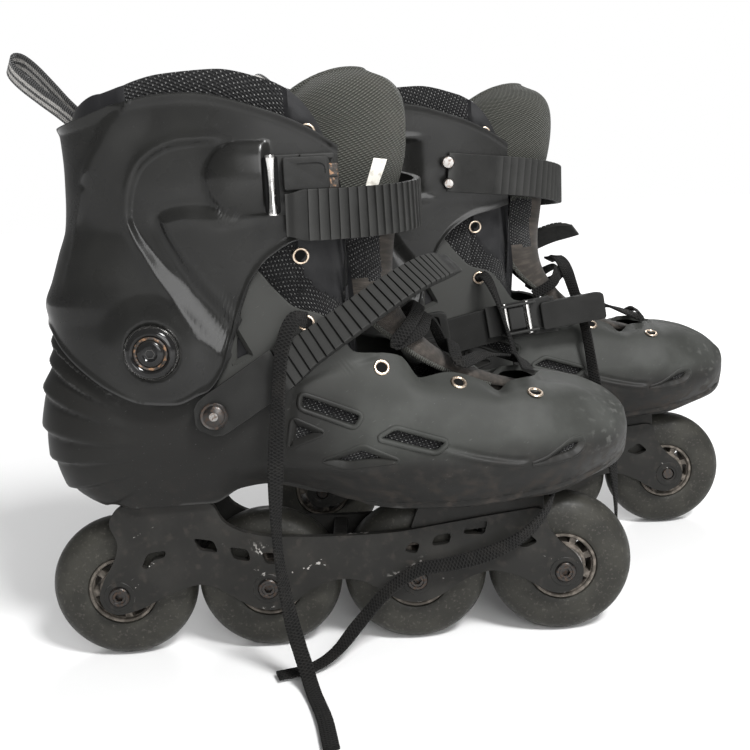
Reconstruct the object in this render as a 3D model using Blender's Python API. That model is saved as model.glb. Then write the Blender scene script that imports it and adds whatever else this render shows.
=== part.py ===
"""A pair of inline skates: two mirror-image boots on four-wheel frames.

Each piece is modelled once, in the right skate's own frame, and mirrored for the left skate.
The skate's frame has +X towards the toe, +Y towards the inner (medial) side, +Z up and its
origin on the ground, halfway between the middle axles.  Sizes below are in millimetres;
meshes are stored in metres.
"""
import math

import bmesh
import bpy
from mathutils import Matrix, Vector

MM = 0.001

# ---------------------------------------------------------------- driving dimensions
WHEEL_RADIUS = 40.0
WHEEL_WIDTH = 24.0
WHEEL_PITCH = 81.0
WHEEL_SIDES = 24
AXLE_XS = [(i - 1.5) * WHEEL_PITCH for i in range(4)]

BEARING_RADIUS = 11.0
BEARING_WIDTH = 7.0
BEARING_BORE = 4.0
SPACER_RADIUS = 5.5

FRAME_HALF_WIDTH = 19.0
PLATE_THICKNESS = 4.0
REAR_MOUNT_Z = 91.0
FRONT_MOUNT_Z = 86.0
GAP = 0.3

SHELL_THICKNESS = 3.0
CUFF_THICKNESS = 3.5
LINER_THICKNESS = 4.0
TONGUE_THICKNESS = 6.0

PIVOT_X = -85.0
PIVOT_Z = 178.0
STRAP_SCREW_X = -57.0
STRAP_SCREW_Z = 145.0

STRAP_WIDTH = 24.0
STRAP_THICKNESS = 3.5
CORD_RADIUS = 2.5
HEEL_STEPS = 5

SKATE_SPACING = 160.0
LEFT_LEAD = 105.0
PAIR_CENTRE_X = 52.5

# ---------------------------------------------------------------- finishes
FINISHES = {
    "painted_frame": ((0.020, 0.020, 0.022), 0.42, 0.6),
    "urethane": ((0.055, 0.050, 0.046), 0.38, 0.0),
    "steel": ((0.42, 0.41, 0.40), 0.30, 1.0),
    "satin_shell": ((0.050, 0.052, 0.052), 0.55, 0.0),
    "gloss_cuff": ((0.022, 0.022, 0.024), 0.30, 0.0),
    "strap": ((0.040, 0.041, 0.042), 0.60, 0.0),
    "liner": ((0.022, 0.022, 0.024), 0.75, 0.0),
    "tongue": ((0.120, 0.120, 0.105), 0.90, 0.0),
    "lace": ((0.018, 0.018, 0.018), 0.85, 0.0),
}


# ---------------------------------------------------------------- small helpers
def smooth_function(points):
    """Return a smooth function through (x, value) points that never overshoots them."""
    xs = [p[0] for p in points]
    ys = [p[1] for p in points]
    steps = [(ys[i + 1] - ys[i]) / (xs[i + 1] - xs[i]) for i in range(len(xs) - 1)]
    slopes = [steps[0]]
    for before, after in zip(steps, steps[1:]):
        slopes.append(0.0 if before * after <= 0 else 2 * before * after / (before + after))
    slopes.append(steps[-1])

    def value(x):
        x = min(max(x, xs[0]), xs[-1])
        i = max(k for k in range(len(xs) - 1) if xs[k] <= x)
        width = xs[i + 1] - xs[i]
        t = (x - xs[i]) / width
        rise = ys[i] * (2 * t**3 - 3 * t**2 + 1) + ys[i + 1] * (3 * t**2 - 2 * t**3)
        return rise + width * (slopes[i] * (t**3 - 2 * t**2 + t) + slopes[i + 1] * (t**3 - t**2))

    return value


def smooth_path(points, count):
    """Read count evenly spaced points from a Catmull-Rom curve through the given points."""
    knots = [Vector(p) for p in points]
    ends = [2 * knots[0] - knots[1]] + knots + [2 * knots[-1] - knots[-2]]
    fine = []
    for i in range(1, len(ends) - 2):
        a, b, c, d = ends[i - 1:i + 3]
        for k in range(12):
            t = k / 12
            fine.append(0.5 * (2 * b + (c - a) * t + (2 * a - 5 * b + 4 * c - d) * t**2
                               + (3 * b - a - 3 * c + d) * t**3))
    fine.append(knots[-1])
    lengths = [0.0]
    for a, b in zip(fine, fine[1:]):
        lengths.append(lengths[-1] + (b - a).length)
    result = []
    i = 0
    for k in range(count):
        target = lengths[-1] * k / (count - 1)
        while i < len(fine) - 2 and lengths[i + 1] < target:
            i += 1
        t = (target - lengths[i]) / (lengths[i + 1] - lengths[i])
        result.append(fine[i].lerp(fine[i + 1], min(max(t, 0.0), 1.0)))
    return result


def finished_mesh(name, bm):
    """Turn a bmesh in millimetres into a mesh in metres, with its faces pointing out."""
    bmesh.ops.remove_doubles(bm, verts=bm.verts, dist=0.01)
    bmesh.ops.recalc_face_normals(bm, faces=bm.faces)
    bmesh.ops.scale(bm, vec=(MM, MM, MM), verts=bm.verts)
    mesh = bpy.data.meshes.new(name)
    bm.to_mesh(mesh)
    bm.free()
    return mesh


def evaluated(mesh, add_modifiers):
    """Return the mesh after the modifiers that add_modifiers puts on a working object."""
    work = bpy.data.objects.new("work", mesh)
    bpy.context.scene.collection.objects.link(work)
    helpers = add_modifiers(work) or []
    graph = bpy.context.evaluated_depsgraph_get()
    result = bpy.data.meshes.new_from_object(work.evaluated_get(graph))
    for extra in [work] + helpers:
        bpy.data.objects.remove(extra)
    return result


def combine(mesh, others, operation):
    """Union with, or cut away, a list of meshes, one after another."""
    for other in others:
        def add(work, other=other):
            helper = bpy.data.objects.new("helper", other)
            bpy.context.scene.collection.objects.link(helper)
            helper.hide_render = True
            helper.display_type = "WIRE"
            modifier = work.modifiers.new("combine", "BOOLEAN")
            modifier.operation = operation
            modifier.solver = "EXACT"
            modifier.object = helper
            return [helper]
        mesh = evaluated(mesh, add)
    return mesh


def thickened(mesh, thickness):
    """Give a sheet its thickness, inwards from its outer face."""
    def add(work):
        modifier = work.modifiers.new("wall", "SOLIDIFY")
        modifier.thickness = thickness * MM
        modifier.offset = -1.0
        modifier.use_even_offset = True
    return evaluated(mesh, add)


def prism(outline, y_low, y_high, name="prism"):
    """Extrude an XZ outline along Y."""
    bm = bmesh.new()
    near = [bm.verts.new((x, y_low, z)) for x, z in outline]
    far = [bm.verts.new((x, y_high, z)) for x, z in outline]
    bm.faces.new(near)
    bm.faces.new(list(reversed(far)))
    for i in range(len(outline)):
        k = (i + 1) % len(outline)
        bm.faces.new((near[i], far[i], far[k], near[k]))
    return finished_mesh(name, bm)


def block(low, high):
    """A box between two corners."""
    corners = [(low[0], low[2]), (high[0], low[2]), (high[0], high[2]), (low[0], high[2])]
    return prism(corners, low[1], high[1], "block")


def turned(profile, sides, centre, turn=0.0):
    """Turn a closed (radius, y) profile about the Y axis through centre (x, z)."""
    bm = bmesh.new()
    rings = []
    for i in range(sides):
        angle = 2 * math.pi * (i + turn) / sides
        across, up = math.cos(angle), math.sin(angle)
        rings.append([bm.verts.new((centre[0] + r * across, y, centre[1] + r * up)) for r, y in profile])
    for i in range(sides):
        a, b = rings[i], rings[(i + 1) % sides]
        for k in range(len(profile)):
            n = (k + 1) % len(profile)
            if profile[k][0] > 0 or profile[n][0] > 0:
                bm.faces.new((a[k], a[n], b[n], b[k]))
    bmesh.ops.remove_doubles(bm, verts=bm.verts, dist=0.01)
    bmesh.ops.dissolve_degenerate(bm, edges=bm.edges, dist=0.01)
    return finished_mesh("turned", bm)


def rod(radius, y_low, y_high, centre, sides=12):
    """A round bar along Y."""
    outline = [(centre[0] + radius * math.cos(2 * math.pi * i / sides),
                centre[1] + radius * math.sin(2 * math.pi * i / sides)) for i in range(sides)]
    return prism(outline, y_low, y_high, "rod")


def ribbon(stations, thickness):
    """Sweep a flat band: each station is (centre, across), where across is half the width."""
    bm = bmesh.new()
    rings = []
    centres = [Vector(c) for c, _ in stations]
    for i, (centre, across) in enumerate(stations):
        ahead = centres[min(i + 1, len(centres) - 1)] - centres[max(i - 1, 0)]
        half = Vector(across)
        normal = ahead.cross(half).normalized() * (thickness / 2)
        centre = Vector(centre)
        rings.append([bm.verts.new(centre + side * half + face * normal)
                      for side, face in ((-1, -1), (1, -1), (1, 1), (-1, 1))])
    for a, b in zip(rings, rings[1:]):
        for k in range(4):
            n = (k + 1) % 4
            bm.faces.new((a[k], a[n], b[n], b[k]))
    bm.faces.new(rings[0])
    bm.faces.new(rings[-1])
    return finished_mesh("ribbon", bm)


def grid_sheet(columns, name):
    """Join columns of points, each running from bottom to top, into one sheet."""
    bm = bmesh.new()
    made = [[bm.verts.new(p) for p in column] for column in columns]
    bm.verts.ensure_lookup_table()
    for a, b in zip(made, made[1:]):
        for k in range(len(a) - 1):
            quad = (a[k], b[k], b[k + 1], a[k + 1])
            bm.faces.new(quad)
    bmesh.ops.remove_doubles(bm, verts=bm.verts, dist=0.05)
    bmesh.ops.dissolve_degenerate(bm, edges=bm.edges, dist=0.05)
    bmesh.ops.scale(bm, vec=(MM, MM, MM), verts=bm.verts)
    mesh = bpy.data.meshes.new(name)
    bm.to_mesh(mesh)
    bm.free()
    return mesh


# ---------------------------------------------------------------- running gear
def frame_mesh():
    """Two side plates, joined by the mounting blocks and by a web between each pair of wheels."""
    outline = [
        (-118, REAR_MOUNT_Z), (-67, REAR_MOUNT_Z), (-63, 80), (-55, 74), (-40, 69.5), (-15, 68), (11, 68),
        (31, 70), (42, 79), (48, FRONT_MOUNT_Z), (111, FRONT_MOUNT_Z), (111, 76), (113, 66), (119, 57),
        (129, 48), (132, 41), (130, 32), (121, 27), (112, 29), (97, 39), (82, 44), (68, 40), (52, 29.5),
        (40, 26.5), (29, 29.5), (13, 41), (0, 43.5), (-13, 41), (-29, 29.5), (-40, 26.5), (-52, 30.5),
        (-67, 42), (-78, 45), (-94, 40), (-110, 32), (-123, 29), (-130, 32), (-133, 40), (-129, 50),
        (-122, 61), (-119, 70), (-124, 82)]
    inner = FRAME_HALF_WIDTH - PLATE_THICKNESS
    plates = [prism(outline, side * inner, side * FRAME_HALF_WIDTH) for side in (-1, 1)]
    reach = inner + PLATE_THICKNESS / 2
    joiners = [
        block((-116, -reach, 84), (-69, reach, REAR_MOUNT_Z - 0.5)),
        block((50, -reach, 81.6), (109, reach, FRONT_MOUNT_Z - 0.5))]
    for x in (-WHEEL_PITCH, 0, WHEEL_PITCH):
        joiners.append(block((x - 4, -reach, 62), (x + 4, reach, 66.5)))
    frame = combine(plates[0], joiners + [plates[1]], "UNION")
    for x in AXLE_XS:
        bosses = [rod(6.5, side * (WHEEL_WIDTH / 2 + GAP), side * (inner + 1.5), (x, WHEEL_RADIUS), 8)
                  for side in (-1, 1)]
        frame = combine(frame, bosses, "UNION")
    bores = [rod(BEARING_BORE + 0.1, -30, 30, (x, WHEEL_RADIUS), 10) for x in AXLE_XS]
    return combine(frame, bores + frame_windows(), "DIFFERENCE")


def frame_windows():
    """The lightening holes through both side plates."""
    windows = [
        [(-79, 71), (-68, 69), (-66, 62), (-76, 64)],
        [(-60, 65), (-50, 63), (-49, 56), (-58, 58)],
        [(-43, 61), (-33, 60), (-34, 54), (-41, 54)],
        [(34, 57), (38, 62), (43, 61), (41, 55)],
        [(49, 59), (51, 65), (60, 66), (59, 60)],
        [(66, 65), (69, 70), (80, 72), (78, 64)],
        [(92, 58), (101, 64), (107, 58), (100, 55)],
        [(-108, 56), (-104, 64), (-94, 65), (-95, 61), (-102, 60), (-105, 55)]]
    return [prism(window, -30, 30) for window in windows]


def wheel_mesh(x):
    """A urethane tyre on its core, with a bearing seat at each end of the hub."""
    rim = WHEEL_RADIUS / math.cos(math.pi / WHEEL_SIDES)
    half = WHEEL_WIDTH / 2
    seat = BEARING_RADIUS + GAP
    ledge = half - BEARING_WIDTH - GAP
    side = [(seat, ledge), (seat, half - 0.6), (34, half - 0.6), (rim, half - 7)]
    profile = [(SPACER_RADIUS + 2.5, 0)] + side + [(r, -y) for r, y in reversed(side)]
    return turned(profile, WHEEL_SIDES, (x, WHEEL_RADIUS), 0.5)


def bearing_mesh(x):
    """The two bearings and the spacer that stands between them."""
    half = WHEEL_WIDTH / 2
    shoulder = half - BEARING_WIDTH
    side = [(BEARING_BORE, half), (BEARING_RADIUS, half), (BEARING_RADIUS, shoulder),
            (SPACER_RADIUS, shoulder)]
    profile = side + [(r, -y) for r, y in reversed(side)]
    return turned(profile, 10, (x, WHEEL_RADIUS))


def axle_mesh(x):
    """A socket-head axle bolt through both plates and the wheel's bearings."""
    head_face = -FRAME_HALF_WIDTH - 2.8
    under_head = -FRAME_HALF_WIDTH - GAP
    shaft = BEARING_BORE - GAP
    profile = [(0, head_face + 1.8), (2.6, head_face), (5.5, head_face), (5.5, under_head),
               (shaft, under_head), (shaft, FRAME_HALF_WIDTH), (0, FRAME_HALF_WIDTH)]
    return turned(profile, 10, (x, WHEEL_RADIUS))


# ---------------------------------------------------------------- boot surfaces
CUFF_CENTRE_X = -62.0
CUFF_FRONT_DEPTH = 110.0
CUFF_SQUARENESS = 0.8
CUFF_BACK = smooth_function([(150, -148), (191, -145), (200, -146), (213, -141), (226, -136), (239, -131),
                             (254, -129), (272, -128), (300, -129)])
CUFF_WIDTH = smooth_function([(150, 46.5), (178, 46.5), (205, 45), (235, 45.5), (260, 48), (300, 50)])
CUFF_LOW = smooth_function([(0, 193), (20, 189), (35, 179), (50, 168), (62, 159), (75, 152), (84, 151),
                            (90, 156), (93, 167), (95, 182), (97, 196), (100, 210), (105, 221), (112, 228),
                            (120, 231), (127, 234)])
CUFF_TOP = smooth_function([(0, 287), (25, 288), (50, 291), (70, 296), (90, 299), (105, 291), (118, 281),
                            (127, 272)])


class Boot:
    """A boot-shaped wall: a row of upright profiles set around the outline of the foot."""

    def __init__(self, curves, heel_x, heel_reach, heel_rim, side_xs, rows):
        self.curves = {key: smooth_function(points) for key, points in curves.items()}
        self.heel_x = heel_x
        self.heel_reach = smooth_function(heel_reach)
        self.heel_rim = heel_rim
        self.side_xs = side_xs
        self.rows = rows

    def profile(self, x):
        """The wall's (half width, height) points at x, from the sole's middle to the rim."""
        at = {key: curve(x) for key, curve in self.curves.items()}
        knots = [(at["sole"], at["sole_z"]), (at["wide"], at["wide_z"]),
                 (at["shoulder"], at["shoulder_z"]), (at["rim"], at["rim_z"])]
        wall = smooth_path([(w, 0, z) for w, z in knots], self.rows)
        return [(0.0, at["sole_z"])] + [(p.x, p.z) for p in wall]

    def half_columns(self):
        """Columns from the middle of the toe, along one side, to the middle of the heel."""
        columns = []
        for x in self.side_xs:
            shift = self.curves["middle"](x)
            columns.append([(x, w, z, shift) for w, z in self.profile(x)])
        base = self.profile(self.heel_x)
        rim_z = base[-1][1]
        wide_z = self.curves["wide_z"](self.heel_x)
        for k in range(1, HEEL_STEPS + 1):
            turn = math.pi / 2 * k / HEEL_STEPS
            back_rim = rim_z + (self.heel_rim - rim_z) * math.sin(turn)**2
            column = []
            for w, z in base:
                if z > wide_z:
                    z = wide_z + (z - wide_z) * (back_rim - wide_z) / (rim_z - wide_z)
                reach = 0.0 if w == 0.0 else self.heel_reach(z)
                column.append((self.heel_x - reach * math.sin(turn), w * math.cos(turn), z, 0.0))
            columns.append(column)
        return columns

    def sheet(self, name):
        """The whole wall, both sides, as one sheet."""
        half = self.half_columns()
        inner = [[(x, shift + w, z) for x, w, z, shift in column] for column in half]
        outer = [[(x, shift - w, z) for x, w, z, shift in column] for column in half]
        return grid_sheet(inner + list(reversed(outer))[1:], name)


def shell_mesh():
    """The hard boot shell, open at the ankle and along the throat, with its side vents."""
    curves = {
        "middle": [(-105, 0), (0, -1), (60, -1), (110, 2), (145, 5), (160, 6)],
        "sole": [(-105, 24), (-60, 22), (-30, 23), (20, 29), (70, 34), (110, 31), (140, 18), (154, 8),
                 (160, 2)],
        "sole_z": [(-105, REAR_MOUNT_Z + GAP), (-66, REAR_MOUNT_Z + GAP), (-50, 99), (-35, 101), (-10, 96),
                   (20, 88), (45, FRONT_MOUNT_Z + GAP), (111, FRONT_MOUNT_Z + GAP + 1.5), (135, 92),
                   (152, 97), (160, 110)],
        "wide": [(-105, 37), (-60, 39), (-20, 41), (20, 45), (60, 49), (95, 48), (120, 42), (140, 31),
                 (152, 19), (158, 9), (160, 2.5)],
        "wide_z": [(-105, 128), (-40, 124), (20, 114), (80, 110), (130, 112), (160, 115)],
        "shoulder": [(-105, 34.5), (-40, 38.5), (0, 38), (27, 38), (66, 38), (106, 36), (125, 28), (145, 17),
                     (156, 8), (160, 2)],
        "shoulder_z": [(-105, 175), (-40, 170), (0, 156), (27, 150), (66, 141), (106, 139), (125, 137),
                       (145, 131), (156, 124), (160, 119)],
        "rim": [(-105, 34), (-40, 37.5), (-8, 37), (14, 35), (27, 29), (66, 23), (100, 17), (108, 11),
                (113, 0), (160, 0)],
        "rim_z": [(-105, 214), (-60, 217), (-34, 216), (-24, 205), (-14, 195), (-2, 191), (6, 182), (14, 171),
                  (24, 169), (36, 166), (46, 153), (60, 155), (78, 149), (88, 142), (95, 147), (113, 148),
                  (130, 145), (146, 138), (155, 130), (160, 120)],
    }
    reach = [(91, 15), (96, 31), (100, 38), (106, 42), (119, 47), (135, 49), (150, 48), (168, 42), (180, 39),
             (191, 36), (197, 31), (214, 25)]
    side_xs = [160, 156, 148, 136, 124, 113, 104, 90, 76, 60, 46, 36, 20, 4, -14, -32, -60, -105]
    wall = Boot(curves, -105.0, reach, 203.0, side_xs, 6).sheet("shell")
    shell = thickened(wall, SHELL_THICKNESS)
    return combine(shell, shell_openings(), "DIFFERENCE")


def shell_openings():
    """Side vents, the ankle's triangular window, the pivot holes and the strap screw holes."""
    vents = [
        [(-14, 152), (16, 140), (12, 134), (-15, 145)],
        [(-19, 140), (-3, 132), (-22, 125)],
        [(-6, 117), (15, 125), (34, 116), (6, 113)],
        [(23, 128), (32, 133), (58, 125), (52, 120)],
        [(103, 110), (119, 119), (128, 118), (120, 109)],
        [(-46, 192), (-36, 172), (-48, 167)]]
    cutters = []
    for side in (-1, 1):
        for vent in vents:
            cutters.append(prism(vent, side * 16, side * 70))
        cutters.append(rod(4.3, side * 20, side * 70, (PIVOT_X, PIVOT_Z), 8))
    cutters.append(rod(2.8, -70, -20, (STRAP_SCREW_X, STRAP_SCREW_Z), 8))
    return cutters


def liner_mesh():
    """The padded inner boot: foot, ankle and tall collar, open down the front."""
    curves = {
        "middle": [(-100, 0), (0, -1), (60, -1), (110, 2), (145, 4)],
        "sole": [(-100, 18), (-60, 17), (20, 22), (70, 27), (110, 24), (135, 12), (150, 2)],
        "sole_z": [(-100, 97), (-66, 98), (-45, 106), (-10, 102), (45, 93), (110, 95), (140, 101),
                   (150, 112)],
        "wide": [(-100, 31), (-20, 35), (20, 39), (60, 43), (95, 42), (120, 35), (140, 20), (150, 3)],
        "wide_z": [(-100, 128), (-40, 122), (10, 112), (80, 110), (150, 115)],
        "shoulder": [(-100, 29.5), (-40, 33), (0, 29), (8, 26.5), (14, 26.5), (27, 30), (66, 31), (106, 27),
                     (125, 20), (140, 11), (150, 2.5)],
        "shoulder_z": [(-100, 200), (-40, 205), (8, 205), (15, 145), (27, 141), (66, 132), (106, 129),
                       (130, 127), (150, 118)],
        "rim": [(-100, 34), (-60, 41), (-20, 40), (8, 34), (15, 22), (27, 21), (66, 18), (96, 12), (104, 0),
                (150, 0)],
        "rim_z": [(-100, 306), (-70, 315), (-45, 317), (-20, 312), (-5, 304), (8, 293), (15, 160), (27, 154),
                  (66, 141), (104, 134), (130, 132), (150, 120)],
    }
    reach = [(95, 10), (110, 38), (130, 42), (160, 38), (190, 28), (210, 23), (240, 22), (270, 21), (295, 20),
             (306, 18)]
    side_xs = [150, 143, 130, 117, 104, 92, 66, 36, 15, 8, -12, -45, -75, -100]
    wall = Boot(curves, -100.0, reach, 292.0, side_xs, 6).sheet("liner")
    return thickened(wall, LINER_THICKNESS)


def cuff_point(turn, z):
    """A point of the cuff's outer face, turn degrees round from the middle of the back."""
    back_x = CUFF_BACK(z)
    half_width = CUFF_WIDTH(z)
    depth = CUFF_CENTRE_X - back_x if turn < 90 else CUFF_FRONT_DEPTH
    along = math.cos(math.radians(turn))
    along = math.copysign(abs(along)**CUFF_SQUARENESS, along)
    across = math.sin(math.radians(turn))**CUFF_SQUARENESS
    return (CUFF_CENTRE_X - depth * along, half_width * across, z)


def cuff_mesh():
    """The hinged ankle cuff, open at the front, with its pivot holes."""
    turns = [0, 15, 30, 45, 60, 72, 84, 90, 93, 97, 101, 107, 116, 127]
    half = []
    for turn in turns:
        low, top = CUFF_LOW(turn), CUFF_TOP(turn)
        half.append([cuff_point(turn, low + (top - low) * k / 5) for k in range(6)])
    outer = [[(x, -y, z) for x, y, z in column] for column in half]
    wall = grid_sheet(list(reversed(half)) + outer[1:], "cuff")
    cuff = thickened(wall, CUFF_THICKNESS)
    holes = [rod(4.3, side * 30, side * 70, (PIVOT_X, PIVOT_Z), 8) for side in (-1, 1)]
    return combine(cuff, holes, "DIFFERENCE")


def tongue_mesh():
    """The padded tongue, from the toe box up the instep and round the front of the shin."""
    middle_line = [(101, 143), (84, 148), (64, 158), (47, 173), (37, 192), (35, 212), (38, 235), (42, 260),
                   (46, 285), (44, 305), (37, 322)]
    half_width = smooth_function([(0, 7), (0.1, 11), (0.2, 15), (0.3, 19), (0.42, 20.5), (0.55, 21.5),
                                  (0.7, 24), (1, 26)])
    depth = smooth_function([(0, 2), (0.15, 4), (0.3, 9), (0.42, 22), (0.55, 36), (0.7, 48), (0.9, 54),
                             (1, 48)])
    path = smooth_path([(x, 0, z) for x, z in middle_line], 11)
    columns = []
    for i, p in enumerate(path):
        ahead = (path[min(i + 1, len(path) - 1)] - path[max(i - 1, 0)]).normalized()
        inwards = Vector((0, 1, 0)).cross(ahead) * -1
        t = i / (len(path) - 1)
        row = []
        for k in range(9):
            swing = math.radians(-88 + 176 * k / 8)
            point = p + inwards * (depth(t) * (1 - math.cos(swing)))
            across = math.copysign(abs(math.sin(swing))**0.8, swing)
            row.append((point.x, -half_width(t) * across, point.z))
        columns.append(row)
    return thickened(grid_sheet(columns, "tongue"), TONGUE_THICKNESS)


# ---------------------------------------------------------------- straps and buckles
def cuff_strap_mesh():
    """The ladder strap of the cuff, from its pin on the inner side, round the front of the tongue."""
    path = smooth_path([(-28, 52.5, 256), (-5, 49, 253.5), (20, 43, 250.5), (40, 28, 247), (50.5, 4, 243.5),
                        (46, -22, 241.5), (27, -44, 240.5), (5, -55, 240.5), (-18, -59.5, 241)], 19)
    stations = []
    for i, p in enumerate(path):
        narrow = 0.82 if i == len(path) - 1 else 1.0
        stations.append((p, (0, 0, STRAP_WIDTH / 2 * narrow)))
    return ribbon(stations, STRAP_THICKNESS)


def cuff_buckle_base_mesh():
    """The ratchet buckle's base: a low channel on the outer side of the cuff, with its spool pin."""
    lean = Matrix.Rotation(math.radians(11), 3, "Z")
    floor = block((-21, -50.5, 241), (9, -48.5, 269))
    walls = [block((-8, -54.5, z), (9, -49.5, z + 2.5)) for z in (241.5, 266)]
    hook = block((-21, -54.5, 243), (-17.5, -49.5, 267))
    mesh = combine(floor, walls + [hook], "UNION")
    return turned_about(mesh, (-21, -48.5, 0), lean)


def cuff_buckle_lever_mesh():
    """The ratchet's finger lever, lying in the base."""
    lean = Matrix.Rotation(math.radians(11), 3, "Z")
    lever = block((-14, -55.5, 253.5), (7, -51.2, 265.5))
    return turned_about(lever, (-21, -48.5, 0), lean)


def turned_about(mesh, pivot, rotation):
    """Turn a finished mesh about a pivot given in millimetres."""
    centre = Vector(pivot) * MM
    mesh.transform(Matrix.Translation(centre) @ rotation.to_4x4() @ Matrix.Translation(-centre))
    return mesh


INSTEP_TWIST = smooth_function([(0, 0), (0.25, 2), (0.45, 36), (1, 50)])
INSTEP_WIDTH = smooth_function([(0, 15), (0.06, 22), (0.3, 22), (0.45, 19), (0.9, 19), (1, 14)])


def instep_strap_mesh():
    """The ladder strap of the instep, screwed to the outer side, its free end up in the air."""
    path = smooth_path([(STRAP_SCREW_X - 9, -46, STRAP_SCREW_Z - 6), (-36, -47.5, 158), (-12, -46.5, 173),
                        (12, -44, 188), (34, -38, 201), (52, -30, 209), (67, -21, 212)], 14)
    stations = []
    for i, p in enumerate(path):
        t = i / (len(path) - 1)
        tilt = math.radians(INSTEP_TWIST(t))
        flat = Vector((-0.5, 0, 0.87))
        across = flat * math.cos(tilt) + Vector((0, 1, 0)) * math.sin(tilt)
        width = INSTEP_WIDTH(t)
        stations.append((p, across * width / 2))
    strap = ribbon(stations, STRAP_THICKNESS)
    return combine(strap, [rod(2.8, -60, -30, (STRAP_SCREW_X, STRAP_SCREW_Z), 8)], "DIFFERENCE")


def instep_screw_mesh():
    """The screw that holds the instep strap: a round head, and a shank through the shell's wall."""
    profile = [(0, -51.5), (5.5, -51.5), (6.5, -50.2), (6.5, -48.9), (2.5, -48.9), (2.5, -35.5), (0, -35.5)]
    return turned(profile, 10, (STRAP_SCREW_X, STRAP_SCREW_Z))


def instep_buckle_base_mesh():
    """The padded strap of the inner side with the ratchet's base at its end."""
    path = smooth_path([(STRAP_SCREW_X - 6, 43.5, 141), (-36, 45, 149), (-12, 46.5, 155), (14, 49, 160),
                        (38, 50.5, 163)], 7)
    across = Vector((-0.2, 0, 0.98)) * 11.5
    strap = ribbon([(p, across) for p in path], 3.0)
    base = block((-6, 48.5, 150), (36, 52.5, 170))
    base = turned_about(base, (0, 50, 157), Matrix.Rotation(math.radians(-8), 3, "Y"))
    return combine(strap, [base], "UNION")


def instep_buckle_lever_mesh():
    """The instep ratchet's lever, standing open towards the toe."""
    lever = block((30, 53, 153), (70, 57, 171))
    return turned_about(lever, (28, 53, 157), Matrix.Rotation(math.radians(-8), 3, "Y"))


def pull_loop_mesh():
    """A folded loop of webbing at the back of the collar."""
    out = Vector((-0.7, 0, 0.71))
    across = Vector((0.71, 0, 0.7)) * 6.5
    root = Vector((-128, 0, 299))
    side_steps = [(0, -2.2), (12, -3.6), (24, -4.6), (32, -3.6), (35, 0), (32, 3.6), (24, 4.6), (12, 3.6),
                  (0, 2.2)]
    stations = [(root + out * along + Vector((0, y, 0)), across) for along, y in side_steps]
    return ribbon(stations, 1.6)


# ---------------------------------------------------------------- fasteners of the boot
def pivot_mesh(side):
    """A cuff pivot bolt: wide cap outside the cuff, shank through cuff and shell."""
    cap = side * 52.5
    under = side * 46.9
    profile = [(0, cap - side * 1.0), (7.5, cap - side * 1.0), (8.5, cap), (13.0, cap - side * 1.2),
               (14.0, under), (3.9, under), (3.9, side * 34.5), (0, side * 34.5)]
    return turned(profile, 12, (PIVOT_X, PIVOT_Z))


# ---------------------------------------------------------------- laces
def lace(name, points, count):
    """A lace as a curve with a round bevel, through the route's own points."""
    curve = bpy.data.curves.new(name, "CURVE")
    curve.dimensions = "3D"
    curve.bevel_depth = CORD_RADIUS * MM
    curve.bevel_resolution = 2
    curve.use_fill_caps = True
    curve.render_resolution_u = 0
    spline = curve.splines.new("POLY")
    route = smooth_path(points, count)
    spline.points.add(len(route) - 1)
    for knot, p in zip(spline.points, route):
        knot.co = (p.x * MM, p.y * MM, p.z * MM, 1.0)
    return curve


CROSSING_ROUTE = [(104, -18, 152.5), (103, 0, 155.5), (101, 20, 153), (84, 2, 159), (68, -22, 160),
                  (66, 0, 167), (64, 23, 160), (54, 1, 182), (49, -16, 177), (34, -28, 172), (41, -27, 180),
                  (47, -14, 186), (49, 0, 188), (47, 14, 186), (41, 27, 180), (28, 29, 173)]

RIGHT_OUTER_ROUTE = [(-9, -40.5, 189), (-15, -49, 190), (-21, -56, 176), (-25, -58, 145), (-29, -57, 105),
                     (-30, -53, 70), (-26, -52, 35), (-20, -56, 10), (-16, -68, 3), (-10, -92, 2.9),
                     (-6, -118, 2.9)]
RIGHT_INNER_ROUTE = [(-9, 40.5, 189), (-4, 51, 186), (8, 58, 165), (40, 62, 120), (75, 58, 92), (100, 42, 84),
                     (116, 22, 85.5), (117, 0, 85.5), (116, -16, 85.5), (111, -27, 80), (98, -28, 66),
                     (80, -26, 56), (60, -25.5, 51), (41, -25.8, 48.5), (24, -27, 38), (8, -30, 22),
                     (-5, -35, 9), (-18, -41, 3.5), (-36, -47, 2.9)]
LEFT_INNER_ROUTE = [(-9, -40.5, 189), (-5, -51, 187), (2, -58, 168), (12, -59, 130), (20, -58, 95),
                    (24, -55, 50), (24, -54, 15), (14, -56, 3.5), (-10, -52, 2.9), (-36, -46, 2.9)]
LEFT_OUTER_ROUTE = [(46, 12, 192), (50, -2, 194), (52, -18, 188), (54, -34, 174), (58, -48, 152),
                    (62, -57, 118), (70, -60, 80), (74, -60, 40), (72, -62, 12), (56, -70, 3.2),
                    (20, -74, 2.9), (-30, -70, 2.9), (-80, -66, 2.9), (-130, -60, 2.9), (-170, -62, 2.9)]


# ---------------------------------------------------------------- assembly
def give_material(obj, finish):
    """Make the object's own Principled material."""
    colour, roughness, metallic = FINISHES[finish]
    material = bpy.data.materials.new(obj.name)
    material.use_nodes = True
    shader = material.node_tree.nodes["Principled BSDF"]
    shader.inputs["Base Color"].default_value = (*colour, 1.0)
    shader.inputs["Roughness"].default_value = roughness
    shader.inputs["Metallic"].default_value = metallic
    obj.data.materials.clear()
    obj.data.materials.append(material)


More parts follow.
